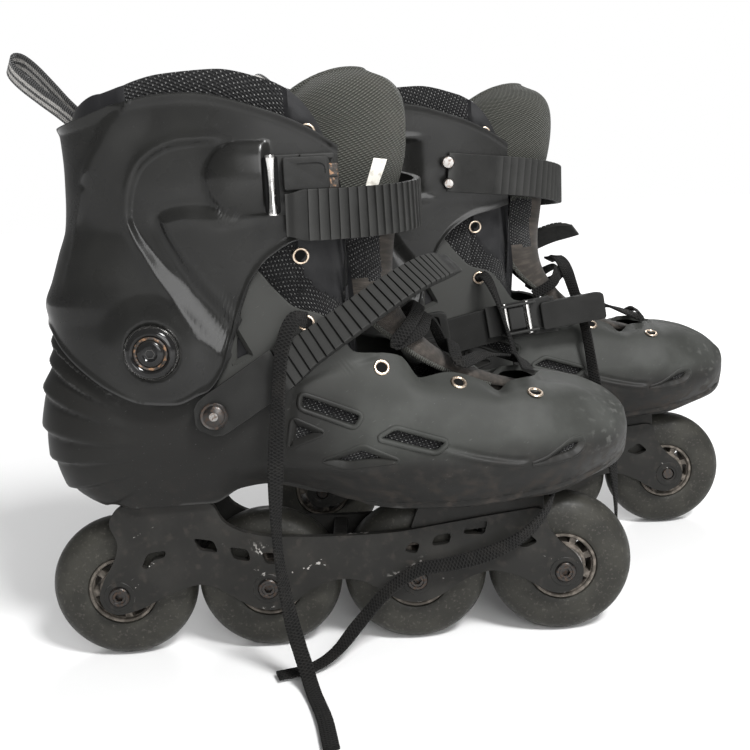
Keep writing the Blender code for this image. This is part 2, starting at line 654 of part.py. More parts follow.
def skate_anchor(side):
    """An empty at the skate's own origin, in the pair's frame."""
    anchor = bpy.data.objects.new(side + "_skate_origin", None)
    bpy.context.scene.collection.objects.link(anchor)
    lead = LEFT_LEAD if side == "left" else 0.0
    across = SKATE_SPACING / 2 if side == "left" else -SKATE_SPACING / 2
    anchor.location = ((lead - PAIR_CENTRE_X) * MM, across * MM, 0.0)
    return anchor


def place_pair(anchors, name, mesh, finish, pivot=(0.0, 0.0, 0.0)):
    """Add a piece to both skates, its origin at pivot, mirrored for the left one."""
    centre = Vector(pivot) * MM
    mesh.transform(Matrix.Translation(-centre))
    mesh.shade_smooth()
    mesh.set_sharp_from_angle(angle=math.radians(35))
    for side, mirror in (("right", 1.0), ("left", -1.0)):
        copy = mesh.copy()
        if mirror < 0:
            copy.transform(Matrix.Diagonal((1.0, -1.0, 1.0, 1.0)))
            copy.flip_normals()
        obj = bpy.data.objects.new(f"{side}_{name}", copy)
        bpy.context.scene.collection.objects.link(obj)
        obj.parent = anchors[side]
        obj.location = (centre.x, centre.y * mirror, centre.z)
        give_material(obj, finish)
    bpy.data.meshes.remove(mesh)


def place_lace(anchors, side, name, points, count):
    """Add one lace to one skate."""
    obj = bpy.data.objects.new(f"{side}_{name}", lace(f"{side}_{name}", points, count))
    bpy.context.scene.collection.objects.link(obj)
    obj.parent = anchors[side]
    give_material(obj, "lace")


def build():
    """Build the pair."""
    for old in list(bpy.data.objects):
        bpy.data.objects.remove(old)
    anchors = {side: skate_anchor(side) for side in ("right", "left")}

    place_pair(anchors, "frame", frame_mesh(), "painted_frame")
    for number, x in enumerate(AXLE_XS, start=1):
        hub = (x, 0.0, WHEEL_RADIUS)
        place_pair(anchors, f"wheel_{number}", wheel_mesh(x), "urethane", hub)
        place_pair(anchors, f"bearing_set_{number}", bearing_mesh(x), "steel", hub)
        place_pair(anchors, f"axle_{number}", axle_mesh(x), "steel", hub)

    place_pair(anchors, "shell", shell_mesh(), "satin_shell")
    place_pair(anchors, "liner", liner_mesh(), "liner")
    place_pair(anchors, "tongue", tongue_mesh(), "tongue")
    cuff_pivot = (PIVOT_X, 0.0, PIVOT_Z)
    place_pair(anchors, "cuff", cuff_mesh(), "gloss_cuff", cuff_pivot)
    place_pair(anchors, "cuff_pivot_outer", pivot_mesh(-1), "steel", cuff_pivot)
    place_pair(anchors, "cuff_pivot_inner", pivot_mesh(1), "steel", cuff_pivot)
    place_pair(anchors, "pull_loop", pull_loop_mesh(), "lace")

    place_pair(anchors, "cuff_ladder_strap", cuff_strap_mesh(), "strap", (-28, 52.5, 256))
    place_pair(anchors, "cuff_buckle_base", cuff_buckle_base_mesh(), "strap", (-21, -50, 255))
    place_pair(anchors, "cuff_buckle_lever", cuff_buckle_lever_mesh(), "steel", (-14, -53, 255))
    screw = (STRAP_SCREW_X, -46.0, STRAP_SCREW_Z)
    place_pair(anchors, "instep_ladder_strap", instep_strap_mesh(), "strap", screw)
    place_pair(anchors, "instep_strap_screw", instep_screw_mesh(), "steel", screw)
    base_screw = (STRAP_SCREW_X, 45, STRAP_SCREW_Z)
    place_pair(anchors, "instep_buckle_base", instep_buckle_base_mesh(), "strap", base_screw)
    place_pair(anchors, "instep_buckle_lever", instep_buckle_lever_mesh(), "strap", (28, 55, 157))

    for side, mirror in (("right", 1), ("left", -1)):
        crossings = [(x, y * mirror, z) for x, y, z in CROSSING_ROUTE]
        place_lace(anchors, side, "lace_crossings", crossings, 20)
    place_lace(anchors, "right", "lace_tail_outer", RIGHT_OUTER_ROUTE, 18)
    place_lace(anchors, "right", "lace_tail_inner", RIGHT_INNER_ROUTE, 26)
    place_lace(anchors, "left", "lace_tail_inner", LEFT_INNER_ROUTE, 18)
    place_lace(anchors, "left", "lace_tail_outer", LEFT_OUTER_ROUTE, 30)


build()
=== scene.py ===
"""The looks of a pair of inline skates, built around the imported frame.

Every piece is modelled once, in millimetres, in the right skate's own frame: +X towards the toe,
+Y towards the inner side, +Z up, origin on the ground halfway between the middle axles.  The left
skate gets mirrored copies.  Only the loose ends of the laces differ between the two.
"""
import math

import bmesh
import bpy
import numpy as np
from mathutils import Matrix, Vector
from mathutils.bvhtree import BVHTree


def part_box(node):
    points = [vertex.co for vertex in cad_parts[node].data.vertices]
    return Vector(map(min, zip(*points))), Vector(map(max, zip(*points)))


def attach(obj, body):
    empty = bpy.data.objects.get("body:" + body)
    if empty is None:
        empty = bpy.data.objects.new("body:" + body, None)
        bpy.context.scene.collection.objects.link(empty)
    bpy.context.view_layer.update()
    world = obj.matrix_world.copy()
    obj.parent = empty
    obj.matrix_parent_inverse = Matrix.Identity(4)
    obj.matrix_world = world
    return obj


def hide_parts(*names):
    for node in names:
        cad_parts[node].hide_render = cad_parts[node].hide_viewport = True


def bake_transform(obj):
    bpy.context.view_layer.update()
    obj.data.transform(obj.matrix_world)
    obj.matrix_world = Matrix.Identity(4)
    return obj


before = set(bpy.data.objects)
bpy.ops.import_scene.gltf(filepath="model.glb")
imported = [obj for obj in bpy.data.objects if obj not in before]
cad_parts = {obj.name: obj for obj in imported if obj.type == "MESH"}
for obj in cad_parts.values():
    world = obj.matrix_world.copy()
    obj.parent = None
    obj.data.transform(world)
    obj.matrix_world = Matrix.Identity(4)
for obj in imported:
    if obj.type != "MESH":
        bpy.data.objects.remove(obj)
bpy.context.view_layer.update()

MM = 0.001
SIDES = {"right": 1.0, "left": -1.0}

# ---------------------------------------------------------------- driving dimensions
WHEEL_RADIUS = 40.0
WHEEL_PITCH = 81.0
AXLE_XS = [(i - 1.5) * WHEEL_PITCH for i in range(4)]
FRAME_HALF_WIDTH = 19.0
PLATE_THICKNESS = 4.0
REAR_MOUNT_Z = 91.0
FRONT_MOUNT_Z = 86.0
SHELL_THICKNESS = 3.0
CUFF_THICKNESS = 3.5
PIVOT = (-85.0, 178.0)
STRAP_SCREW = (-57.0, 145.0)
LACE_WIDTH = 8.0
LACE_THICKNESS = 1.7


def skate_origin(side):
    """The skate's own origin, in metres: on the ground, halfway between its middle axles."""
    low_2, high_2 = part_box(f"{side}_wheel_2")
    low_3, high_3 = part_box(f"{side}_wheel_3")
    centre = (low_2 + high_2 + low_3 + high_3) / 4
    return Vector((centre.x, centre.y, 0.0))


ORIGINS = {side: skate_origin(side) for side in SIDES}


def in_pair(side, point):
    """A point of one skate's own frame, in the pair's frame in metres."""
    return ORIGINS[side] + Vector(point) * MM


def put(name, data):
    """A new object in the scene."""
    made = bpy.data.objects.new(name, data)
    bpy.context.scene.collection.objects.link(made)
    return made


# ---------------------------------------------------------------- camera, floor and light
CAMERA_LENS = 48.0
CAMERA_PLACE = (20, -530, 259)
CAMERA_ANGLES = (0.4, -11.5, -3.1)
SURROUND_LIGHT = 0.26
PLASTIC_SPECULAR = 0.14


def look_along(yaw, pitch, roll):
    """A camera rotation: yaw to the right of +Y, pitch up and roll, in degrees."""
    turn = Matrix.Rotation(math.radians(-yaw), 4, "Z")
    tilt = Matrix.Rotation(math.radians(90 + pitch), 4, "X")
    return (turn @ tilt @ Matrix.Rotation(math.radians(roll), 4, "Z")).to_euler()


def set_camera():
    """The view from the outer side of the nearer skate, a little above it."""
    data = bpy.data.cameras.new("camera")
    data.lens = CAMERA_LENS
    data.sensor_width = 36.0
    camera = put("camera", data)
    camera.location = in_pair("right", CAMERA_PLACE)
    camera.rotation_euler = look_along(*CAMERA_ANGLES)
    bpy.context.scene.camera = camera


def area_light(name, spot, target, size, power):
    """A soft rectangular lamp that looks at target."""
    data = bpy.data.lights.new(name, "AREA")
    data.shape = "RECTANGLE"
    data.size, data.size_y = size
    data.energy = power
    lamp = put(name, data)
    lamp.location = spot
    lamp.rotation_euler = (Vector(target) - Vector(spot)).to_track_quat("-Z", "Y").to_euler()


def set_floor():
    """A pale floor that turns to the surround's white far away."""
    bm = bmesh.new()
    bmesh.ops.create_circle(bm, cap_ends=True, radius=6.0, segments=64)
    data = bpy.data.meshes.new("floor")
    bm.to_mesh(data)
    bm.free()
    floor = put("floor", data)
    pale = bpy.data.materials.new("pale_floor")
    pale.use_nodes = True
    nodes, links = pale.node_tree.nodes, pale.node_tree.links
    shader = nodes["Principled BSDF"]
    shader.inputs["Base Color"].default_value = (0.90, 0.90, 0.90, 1)
    shader.inputs["Roughness"].default_value = 0.85
    shader.inputs["Specular IOR Level"].default_value = 0.2
    shader.inputs["Emission Color"].default_value = (1, 1, 1, 1)
    spot = nodes.new("ShaderNodeTexCoord")
    reach = nodes.new("ShaderNodeVectorMath")
    reach.operation = "LENGTH"
    far = nodes.new("ShaderNodeMapRange")
    for key, value in (("From Min", 0.5), ("From Max", 2.2), ("To Max", 0.9)):
        far.inputs[key].default_value = value
    links.new(spot.outputs["Object"], reach.inputs[0])
    links.new(reach.outputs["Value"], far.inputs["Value"])
    links.new(far.outputs["Result"], shader.inputs["Emission Strength"])
    data.materials.append(pale)


def set_stage():
    """The floor, a surround that looks white and lights softly, and three soft lamps."""
    set_floor()
    world = bpy.data.worlds.new("surround")
    world.use_nodes = True
    nodes, links = world.node_tree.nodes, world.node_tree.links
    ray = nodes.new("ShaderNodeLightPath")
    strength = nodes.new("ShaderNodeMapRange")
    strength.inputs["To Min"].default_value = SURROUND_LIGHT
    strength.inputs["To Max"].default_value = 1.0
    nodes["Background"].inputs["Color"].default_value = (1, 1, 1, 1)
    links.new(ray.outputs["Is Camera Ray"], strength.inputs["Value"])
    links.new(strength.outputs["Result"], nodes["Background"].inputs["Strength"])
    bpy.context.scene.world = world
    bpy.context.scene.view_settings.view_transform = "Standard"
    area_light("key", (0.55, -1.0, 1.3), (0.0, 0.0, 0.15), (0.35, 0.35), 30)
    area_light("window", (0.40, -1.6, 0.65), (0.0, 0.0, 0.18), (0.8, 0.8), 15)
    area_light("back", (0.2, 1.3, 1.1), (0.0, 0.0, 0.2), (1.2, 0.8), 16)


# ---------------------------------------------------------------- curves
def smooth_function(points):
    """Return a smooth function through (x, value) points that never overshoots them."""
    xs = np.array([p[0] for p in points], float)
    ys = np.array([p[1] for p in points], float)
    steps = np.diff(ys) / np.diff(xs)
    inner = [0.0 if a * b <= 0 else 2 * a * b / (a + b) for a, b in zip(steps, steps[1:])]
    slopes = np.array([steps[0], *inner, steps[-1]])

    def value(x):
        x = np.clip(x, xs[0], xs[-1])
        i = np.clip(np.searchsorted(xs, x, side="right") - 1, 0, len(xs) - 2)
        width = xs[i + 1] - xs[i]
        t = (x - xs[i]) / width
        rise = ys[i] * (2 * t**3 - 3 * t**2 + 1) + ys[i + 1] * (3 * t**2 - 2 * t**3)
        return rise + width * (slopes[i] * (t**3 - 2 * t**2 + t) + slopes[i + 1] * (t**3 - t**2))

    return value


def read_at(wanted, places, line):
    """Read a line of points, whose places along it are given, at the wanted places."""
    return np.stack([np.interp(wanted, places, line[:, k]) for k in range(line.shape[1])], axis=1)


def lengths_along(line):
    """The length from the line's start to each of its points."""
    steps = np.linalg.norm(np.diff(line, axis=0), axis=1)
    return np.concatenate([[0.0], np.cumsum(steps)])


def spaced(line, count, closed=False):
    """Read count evenly spaced points along a line of points."""
    line = np.asarray(line, float)
    if closed:
        line = np.vstack([line, line[:1]])
    lengths = lengths_along(line)
    return read_at(np.linspace(0.0, lengths[-1], count + closed)[:count], lengths, line)


def smooth_path(points, count=40):
    """Read count evenly spaced points from a Catmull-Rom curve through points of 2 or 3 numbers."""
    knots = np.array(points, float)
    ends = np.vstack([2 * knots[0] - knots[1], knots, 2 * knots[-1] - knots[-2]])
    t = np.linspace(0, 1, 24, endpoint=False)[:, None]
    fine = []
    for i in range(1, len(ends) - 2):
        a, b, c, d = ends[i - 1:i + 3]
        fine.append(0.5 * (2 * b + (c - a) * t + (2 * a - 5 * b + 4 * c - d) * t**2
                           + (3 * b - a - 3 * c + d) * t**3))
    return spaced(np.vstack(fine + [knots[-1:]]), count)


def rounded(outline, radius, steps=5):
    """Round the corners of a closed outline of 2-D points."""
    corners = [np.array(p, float) for p in outline]
    result = []
    for i, corner in enumerate(corners):
        before, after = corners[i - 1], corners[(i + 1) % len(corners)]
        into = (before - corner) / np.linalg.norm(before - corner)
        out = (after - corner) / np.linalg.norm(after - corner)
        reach = min(radius, 0.45 * np.linalg.norm(before - corner), 0.45 * np.linalg.norm(after - corner))
        start, end = corner + into * reach, corner + out * reach
        for k in range(steps + 1):
            t = k / steps
            result.append((1 - t)**2 * start + 2 * t * (1 - t) * corner + t**2 * end)
    return np.array(result)


def around(count):
    """Angles evenly spaced round a full turn."""
    return np.linspace(0, 2 * math.pi, count, endpoint=False)


def circle(radius, count, centre=(0, 0)):
    """A circle of points about centre."""
    return [(centre[0] + radius * math.cos(a), centre[1] + radius * math.sin(a)) for a in around(count)]


def unit(vectors):
    """Vectors scaled to length 1."""
    vectors = np.asarray(vectors, float)
    return vectors / np.maximum(np.linalg.norm(vectors, axis=-1, keepdims=True), 1e-9)


def smooth_step(x, low, high):
    """0 below low, 1 above high, smooth between."""
    t = np.clip((x - low) / (high - low), 0, 1)
    return t * t * (3 - 2 * t)


# ---------------------------------------------------------------- meshes
def new_mesh(points, faces, uvs=None):
    """A mesh from points and faces; uvs has one pair for each corner of each face, in millimetres."""
    mesh = bpy.data.meshes.new("piece")
    mesh.from_pydata([tuple(p) for p in points], [], faces)
    layer = mesh.uv_layers.new(name="flat")
    if uvs is not None:
        layer.data.foreach_set("uv", np.asarray(uvs, np.float32).ravel())
    return mesh


def grid(points, wrap_u=False, wrap_v=False, cap=False):
    """A sheet, tube or ring from a table of points [u][v], with a flat map in millimetres.

    cap closes both ends of a tube; the caps' part of the map is left at zero."""
    points = np.asarray(points, float)
    nu, nv = points.shape[:2]
    steps_u = np.linalg.norm(np.roll(points, -1, axis=0) - points, axis=2).mean(axis=1)
    steps_v = np.linalg.norm(np.roll(points, -1, axis=1) - points, axis=2).mean(axis=0)
    u_at = np.concatenate([[0.0], np.cumsum(steps_u)])
    v_at = np.concatenate([[0.0], np.cumsum(steps_v)])
    faces, uvs = [], []
    for i in range(nu if wrap_u else nu - 1):
        for j in range(nv if wrap_v else nv - 1):
            k, m = (i + 1) % nu, (j + 1) % nv
            faces.append((i * nv + j, k * nv + j, k * nv + m, i * nv + m))
            uvs += [(u_at[i], v_at[j]), (u_at[i + 1], v_at[j]),
                    (u_at[i + 1], v_at[j + 1]), (u_at[i], v_at[j + 1])]
    if cap:
        last = (nu - 1) * nv
        faces += [tuple(reversed(range(nv))), tuple(range(last, last + nv))]
        uvs += [(0.0, 0.0)] * (2 * nv)
    return new_mesh(points.reshape(-1, 3), faces, uvs)


def tidy(mesh, distance=0.01):
    """Merge points that coincide and turn the faces outwards."""
    bm = bmesh.new()
    bm.from_mesh(mesh)
    bmesh.ops.remove_doubles(bm, verts=bm.verts, dist=distance)
    bmesh.ops.dissolve_degenerate(bm, edges=bm.edges, dist=distance)
    bmesh.ops.recalc_face_normals(bm, faces=bm.faces)
    bm.to_mesh(mesh)
    bm.free()
    return mesh


def merged(meshes):
    """Put several meshes into one, each with its own material slot numbers kept."""
    bm = bmesh.new()
    for mesh in meshes:
        bm.from_mesh(mesh)
    result = bpy.data.meshes.new("piece")
    bm.to_mesh(result)
    bm.free()
    return result


def slotted(mesh, index):
    """Give the mesh's faces their material slot: one number for all, or one for each."""
    numbers = np.broadcast_to(index, len(mesh.polygons)).astype(np.int32)
    mesh.polygons.foreach_set("material_index", numbers)
    return mesh


def face_centres(mesh):
    """The middle of each face."""
    centres = np.empty(len(mesh.polygons) * 3)
    mesh.polygons.foreach_get("center", centres)
    return centres.reshape(-1, 3)


def applied(mesh, add_modifiers):
    """Return the mesh after the modifiers that add_modifiers puts on a working object."""
    work = put("work", mesh)
    helpers = add_modifiers(work) or []
    graph = bpy.context.evaluated_depsgraph_get()
    result = bpy.data.meshes.new_from_object(work.evaluated_get(graph))
    for extra in [work] + helpers:
        bpy.data.objects.remove(extra)
    return result


def thickened(mesh, thickness, offset=-1.0, bevel=0.0, even=True):
    """Give a sheet its thickness, inwards from its outer face, and round its edges.

    Its rim takes the material before the face's own."""
    def add(work):
        wall = work.modifiers.new("wall", "SOLIDIFY")
        wall.thickness = thickness
        wall.offset = offset
        wall.use_even_offset = even
        wall.material_offset_rim = -1
        if bevel:
            add_bevel(work, bevel)
    return applied(mesh, add)


def add_bevel(work, width, segments=2, angle=50):
    """A bevel on the sharp edges of a working object."""
    edge = work.modifiers.new("edge", "BEVEL")
    edge.width = width
    edge.segments = segments
    edge.limit_method = "ANGLE"
    edge.angle_limit = math.radians(angle)
    edge.harden_normals = False


def bevelled(mesh, width, segments=2, angle=50):
    """Round the sharp edges of a mesh."""
    return applied(mesh, lambda work: add_bevel(work, width, segments, angle))


def cut(mesh, cutters):
    """Cut a list of meshes away."""
    def add(work):
        helper = put("helper", merged(cutters))
        modifier = work.modifiers.new("cut", "BOOLEAN")
        modifier.operation = "DIFFERENCE"
        modifier.solver = "EXACT"
        modifier.object = helper
        return [helper]
    return applied(mesh, add)


def points_of(mesh):
    """The mesh's points and their normals."""
    points = np.empty(len(mesh.vertices) * 3)
    normals = np.empty(len(mesh.vertices) * 3)
    mesh.vertices.foreach_get("co", points)
    mesh.vertices.foreach_get("normal", normals)
    return points.reshape(-1, 3), normals.reshape(-1, 3)


def pushed(mesh, relief):
    """Move every point along its normal by relief(points) millimetres."""
    points, normals = points_of(mesh)
    moved = points + normals * relief(points)[:, None]
    mesh.vertices.foreach_set("co", moved.ravel())
    mesh.update()
    return mesh


def prism(outline, y_low, y_high):
    """Extrude an XZ outline along Y."""
    count = len(outline)
    points = [(x, y_low, z) for x, z in outline] + [(x, y_high, z) for x, z in outline]
    faces = [tuple(range(count)), tuple(reversed(range(count, 2 * count)))]
    faces += [(i, i + count, (i + 1) % count + count, (i + 1) % count) for i in range(count)]
    return tidy(new_mesh(points, faces))


def block(low, high, bevel=0.6):
    """A box between two corners with rounded edges."""
    corners = [(low[0], low[2]), (high[0], low[2]), (high[0], high[2]), (low[0], high[2])]
    return bevelled(prism(corners, low[1], high[1]), bevel, 3)


def turned(profile, sides, centre):
    """Turn a closed (radius, y) profile about the Y axis through centre (x, z)."""
    table = [[(centre[0] + r * math.cos(a), y, centre[1] + r * math.sin(a)) for r, y in profile]
             for a in around(sides)]
    return tidy(grid(table, wrap_u=True, wrap_v=True), 0.005)


def cylinder(radius, start, end, sides, centre):
    """A solid cylinder along the Y axis through centre (x, z)."""
    return turned([(0, start), (radius, start), (radius, end), (0, end)], sides, centre)


def upright_bar(x, y, section, sides):
    """Turn a (radius, z) section about the upright line through (x, y)."""
    table = [[(x + r * math.cos(a), y + r * math.sin(a), z) for r, z in section] for a in around(sides)]
    return tidy(grid(table, wrap_u=True))


def sweep(path, profile, out, closed=False):
    """Sweep a closed (side, out) profile along path; out is the profile's out direction at each point.

    profile is one list of points, or one list for each point of the path."""
    path = np.asarray(path, float)
    out = np.broadcast_to(np.asarray(out, float), path.shape)
    if closed:
        ahead = unit(np.roll(path, -1, axis=0) - np.roll(path, 1, axis=0))
    else:
        ahead = unit(np.gradient(path, axis=0))
    out = unit(out - ahead * (out * ahead).sum(axis=1, keepdims=True))
    across = np.cross(ahead, out)
    profile = np.asarray(profile, float)
    if profile.ndim == 2:
        profile = np.broadcast_to(profile, (len(path), *profile.shape))
    table = path[:, None] + across[:, None] * profile[..., :1] + out[:, None] * profile[..., 1:]
    mesh = grid(table, wrap_u=closed, wrap_v=True, cap=not closed)
    return tidy(mesh, 0.001)


def each_gap(flat, line):
    """For each stretch of a line: its ends, the nearest share along it and the distance from it."""
    for a, b in zip(line, line[1:]):
        ab = b - a
        t = np.clip(((flat - a) @ ab) / (ab @ ab), 0, 1)
        gap = flat - (a + t[:, None] * ab)
        yield a, b, t, np.hypot(gap[:, 0], gap[:, 1])


def line_distance(points, line):
    """Each point's signed distance to a line of (x, z) points, + on its left, and how far along it lies."""
    flat = points[:, [0, 2]]
    line = np.asarray(line, float)
    best = np.full(len(flat), 1e6)
    share = np.zeros(len(flat))
    for i, (a, b, t, distance) in enumerate(each_gap(flat, line)):
        side = (b - a)[0] * (flat[:, 1] - a[1]) - (b - a)[1] * (flat[:, 0] - a[0])
        nearer = distance < np.abs(best)
        best = np.where(nearer, np.copysign(distance, side), best)
        share = np.where(nearer, (i + t) / (len(line) - 1), share)
    return best, share


def inside(points, outline):
    """Each point's distance inside a closed (x, z) outline, negative outside."""
    flat = points[:, [0, 2]]
    nearest = np.full(len(flat), 1e6)
    within = np.zeros(len(flat), bool)
    for a, b, _, distance in each_gap(flat, np.vstack([outline, outline[:1]])):
        nearest = np.minimum(nearest, distance)
        if a[1] != b[1]:
            crossing = a[0] + (b - a)[0] * (flat[:, 1] - a[1]) / (b - a)[1]
            within ^= ((a[1] > flat[:, 1]) != (b[1] > flat[:, 1])) & (flat[:, 0] < crossing)
    return np.where(within, nearest, -nearest)


def both_ends(share, reach):
    """0 at both ends of a line, 1 in between."""
    return smooth_step(share, 0, reach) * smooth_step(1 - share, 0, reach)


def bead(distance, width):
    """A smooth bump of height 1 across a line, width being its half width."""
    return np.exp(-(distance / width)**2)


def face_tree(mesh):
    """The mesh's faces, ready to be looked at."""
    points = [v.co.copy() for v in mesh.vertices]
    return BVHTree.FromPolygons(points, [tuple(p.vertices) for p in mesh.polygons])


def first_seen(tree, x, z, side):
    """What a look along Y from one side finds at (x, z), or else the nearest place."""
    found = tree.ray_cast(Vector((x, side * 120.0, z)), Vector((0, -side, 0)))
    if found[0] is None:
        found = tree.find_nearest(Vector((x, side * 60.0, z)))
    return found


class Surface:
    """A sheet that details can be laid on, found by looking at it along Y.

    plain is the same sheet without its relief, for smoother normals."""

    def __init__(self, mesh, plain=None):
        self.tree = face_tree(mesh)
        self.plain = face_tree(plain) if plain else self.tree

    def at(self, x, z, side):
        """The outermost point at (x, z) on one side, and its outward normal."""
        point = first_seen(self.tree, x, z, side)[0]
        normal = first_seen(self.plain, x, z, side)[1]
        if normal.y * side < 0:
            normal = -normal
        return np.array(point), np.array(normal)

    def along(self, outline, side):
        """The points and normals under a line of (x, z) points."""
        found = [self.at(x, z, side) for x, z in outline]
        return np.array([p for p, _ in found]), np.array([n for _, n in found])


# ---------------------------------------------------------------- materials
class Look:
    """A Principled material put together from small node recipes.

    Places are in millimetres: in the piece's own space, or on its flat map where flat is true."""

    def __init__(self, name, colour, roughness, metallic=0.0, **sockets):
        self.material = bpy.data.materials.new(name)
        self.material.use_nodes = True
        tree = self.material.node_tree
        self.nodes, self.links = tree.nodes, tree.links
        self.shader = self.nodes["Principled BSDF"]
        self.shader.inputs["Base Color"].default_value = (*colour, 1.0)
        self.shader.inputs["Roughness"].default_value = roughness
        self.shader.inputs["Metallic"].default_value = metallic
        self.shader.inputs["Specular IOR Level"].default_value = 0.5 if metallic else PLASTIC_SPECULAR
        for socket, value in sockets.items():
            self.shader.inputs[socket.replace("_", " ")].default_value = value
        self.places = {}

    def feed(self, socket, value):
        """Link a socket's output, or set a constant."""
        if isinstance(value, bpy.types.NodeSocket):
            self.links.new(value, socket)
        else:
            socket.default_value = value

    def place(self, flat=False):
        """Where on the piece, in millimetres."""
        if flat not in self.places:
            if flat:
                source = self.nodes.new("ShaderNodeUVMap")
                source.uv_map = "flat"
                self.places[flat] = source.outputs["UV"]
            else:
                source = self.nodes.new("ShaderNodeTexCoord")
                scale = self.nodes.new("ShaderNodeVectorMath")
                scale.operation = "SCALE"
                scale.inputs["Scale"].default_value = 1 / MM
                self.links.new(source.outputs["Object"], scale.inputs[0])
                self.places[flat] = scale.outputs[0]
        return self.places[flat]

    def axis(self, name, flat=False):
        """One coordinate of the place."""
        split = self.nodes.new("ShaderNodeSeparateXYZ")
        self.links.new(self.place(flat), split.inputs[0])
        return split.outputs[name]

    def math(self, operation, a, b=0.0):
        """One step of arithmetic on values that are sockets or numbers."""
        made = self.nodes.new("ShaderNodeMath")
        made.operation = operation
        self.feed(made.inputs[0], a)
        self.feed(made.inputs[1], b)
        return made.outputs[0]

    def times(self, a, b):
        """The product of two values."""
        return self.math("MULTIPLY", a, b)

    def away(self, value, middle):
        """How far a value is from middle."""
        return self.math("ABSOLUTE", self.math("SUBTRACT", value, middle))

    def texture(self, kind, where, size, stretch=(1, 1, 1)):
        """A texture node whose grain is size millimetres, times stretch in each direction."""
        squeeze = self.nodes.new("ShaderNodeMapping")
        squeeze.inputs["Scale"].default_value = [1 / (size * s) for s in stretch]
        self.links.new(where, squeeze.inputs["Vector"])
        made = self.nodes.new(kind)
        made.inputs["Scale"].default_value = 1.0
        self.links.new(squeeze.outputs[0], made.inputs["Vector"])
        return made

    def noise(self, size, detail=3.0, stretch=(1, 1, 1), flat=False):
        """Cloudy noise from 0 to 1, size being its grain in millimetres."""
        made = self.texture("ShaderNodeTexNoise", self.place(flat), size, stretch)
        made.inputs["Detail"].default_value = detail
        return made.outputs["Fac"]

    def cloud(self, low, high, *grain, flat=False):
        """Smooth patches: noise of the given grain and detail, 0 below low and 1 above high."""
        return self.between(self.noise(*grain, flat=flat), low, high)

    def cells(self, size):
        """Distance from the middle of irregular cells."""
        return self.texture("ShaderNodeTexVoronoi", self.place(), size).outputs["Distance"]

    def wave(self, direction, pitch, flat=True):
        """A sine wave from -1 to 1 along a direction."""
        along = self.nodes.new("ShaderNodeVectorMath")
        along.operation = "DOT_PRODUCT"
        self.links.new(self.place(flat), along.inputs[0])
        turn = 2 * math.pi / pitch
        along.inputs[1].default_value = [turn * d for d in (*direction, 0, 0)[:3]]
        return self.math("SINE", along.outputs["Value"])

    def between(self, value, low, high, start=0.0, end=1.0):
        """start below low, end above high, smooth between."""
        made = self.nodes.new("ShaderNodeMapRange")
        made.interpolation_type = "SMOOTHSTEP"
        self.feed(made.inputs["Value"], value)
        for key, number in (("From Min", low), ("From Max", high), ("To Min", start), ("To Max", end)):
            made.inputs[key].default_value = number
        return made.outputs["Result"]

    def mix(self, name, kind, share, value):
        """Mix what one of the shader's inputs takes so far towards a value."""
        base = self.shader.inputs[name]
        made = self.nodes.new("ShaderNodeMix")
        made.data_type = kind
        self.feed(made.inputs["Factor"], share)
        self.feed(made.inputs["A"], base.links[0].from_socket if base.links else base.default_value)
        made.inputs["B"].default_value = value
        self.links.new(made.outputs["Result"], base)

    def tint(self, share, colour):
        """Mix the colour so far towards another one."""
        self.mix("Base Color", "RGBA", share, (*colour, 1.0))

    def roughen(self, share, roughness):
        """Mix the roughness so far towards another one."""
        self.mix("Roughness", "FLOAT", share, roughness)

    def metal(self, share):
        """Bare metal where share is 1."""
        self.feed(self.shader.inputs["Metallic"], share)

    def bump(self, height, depth, strength=1.0):
        """Relief too fine for the mesh, depth in millimetres for a height of 1."""
        made = self.nodes.new("ShaderNodeBump")
        made.inputs["Strength"].default_value = strength
        made.inputs["Distance"].default_value = depth * MM
        self.feed(made.inputs["Height"], height)
        normal = self.shader.inputs["Normal"]
        if normal.links:
            self.links.new(normal.links[0].from_socket, made.inputs["Normal"])
        self.links.new(made.outputs["Normal"], normal)
        return self

    def edges(self, low=0.52, high=0.60):
        """1 on the outward edges of the mesh."""
        source = self.nodes.new("ShaderNodeNewGeometry")
        return self.between(source.outputs["Pointiness"], low, high)

    def scratches(self, size, low, high, tilt):
        """Sparse fine scratches, their length along tilt."""
        turn = self.nodes.new("ShaderNodeMapping")
        turn.vector_type = "POINT"
        turn.inputs["Rotation"].default_value = tilt
        self.links.new(self.place(), turn.inputs["Vector"])
        made = self.texture("ShaderNodeTexNoise", turn.outputs[0], size, (14, 1, 1))
        made.inputs["Detail"].default_value = 1.0
        return self.between(made.outputs["Fac"], low, high)


def cuff_plastic():
    """Black moulded plastic with a satin gloss, fine scratches and paler edges."""
    look = Look("cuff_plastic", (0.0095, 0.0095, 0.009), 0.27, Coat_Weight=0.25, Coat_Roughness=0.14)
    look.tint(look.cloud(0.40, 0.72, 34, 3), (0.014, 0.014, 0.013))
    look.roughen(look.cloud(0.40, 0.70, 14, 4), 0.36)
    for tilt in ((0.3, 0.9, 0.2), (0.8, -0.5, 0.9)):
        marks = look.scratches(0.3, 0.75, 0.80, tilt)
        look.tint(marks, (0.05, 0.05, 0.05))
        look.roughen(marks, 0.5)
    look.tint(look.times(look.edges(0.54, 0.66), 0.35), (0.05, 0.05, 0.05))
    return look.bump(look.noise(0.9, 2), 0.01, 0.5).material


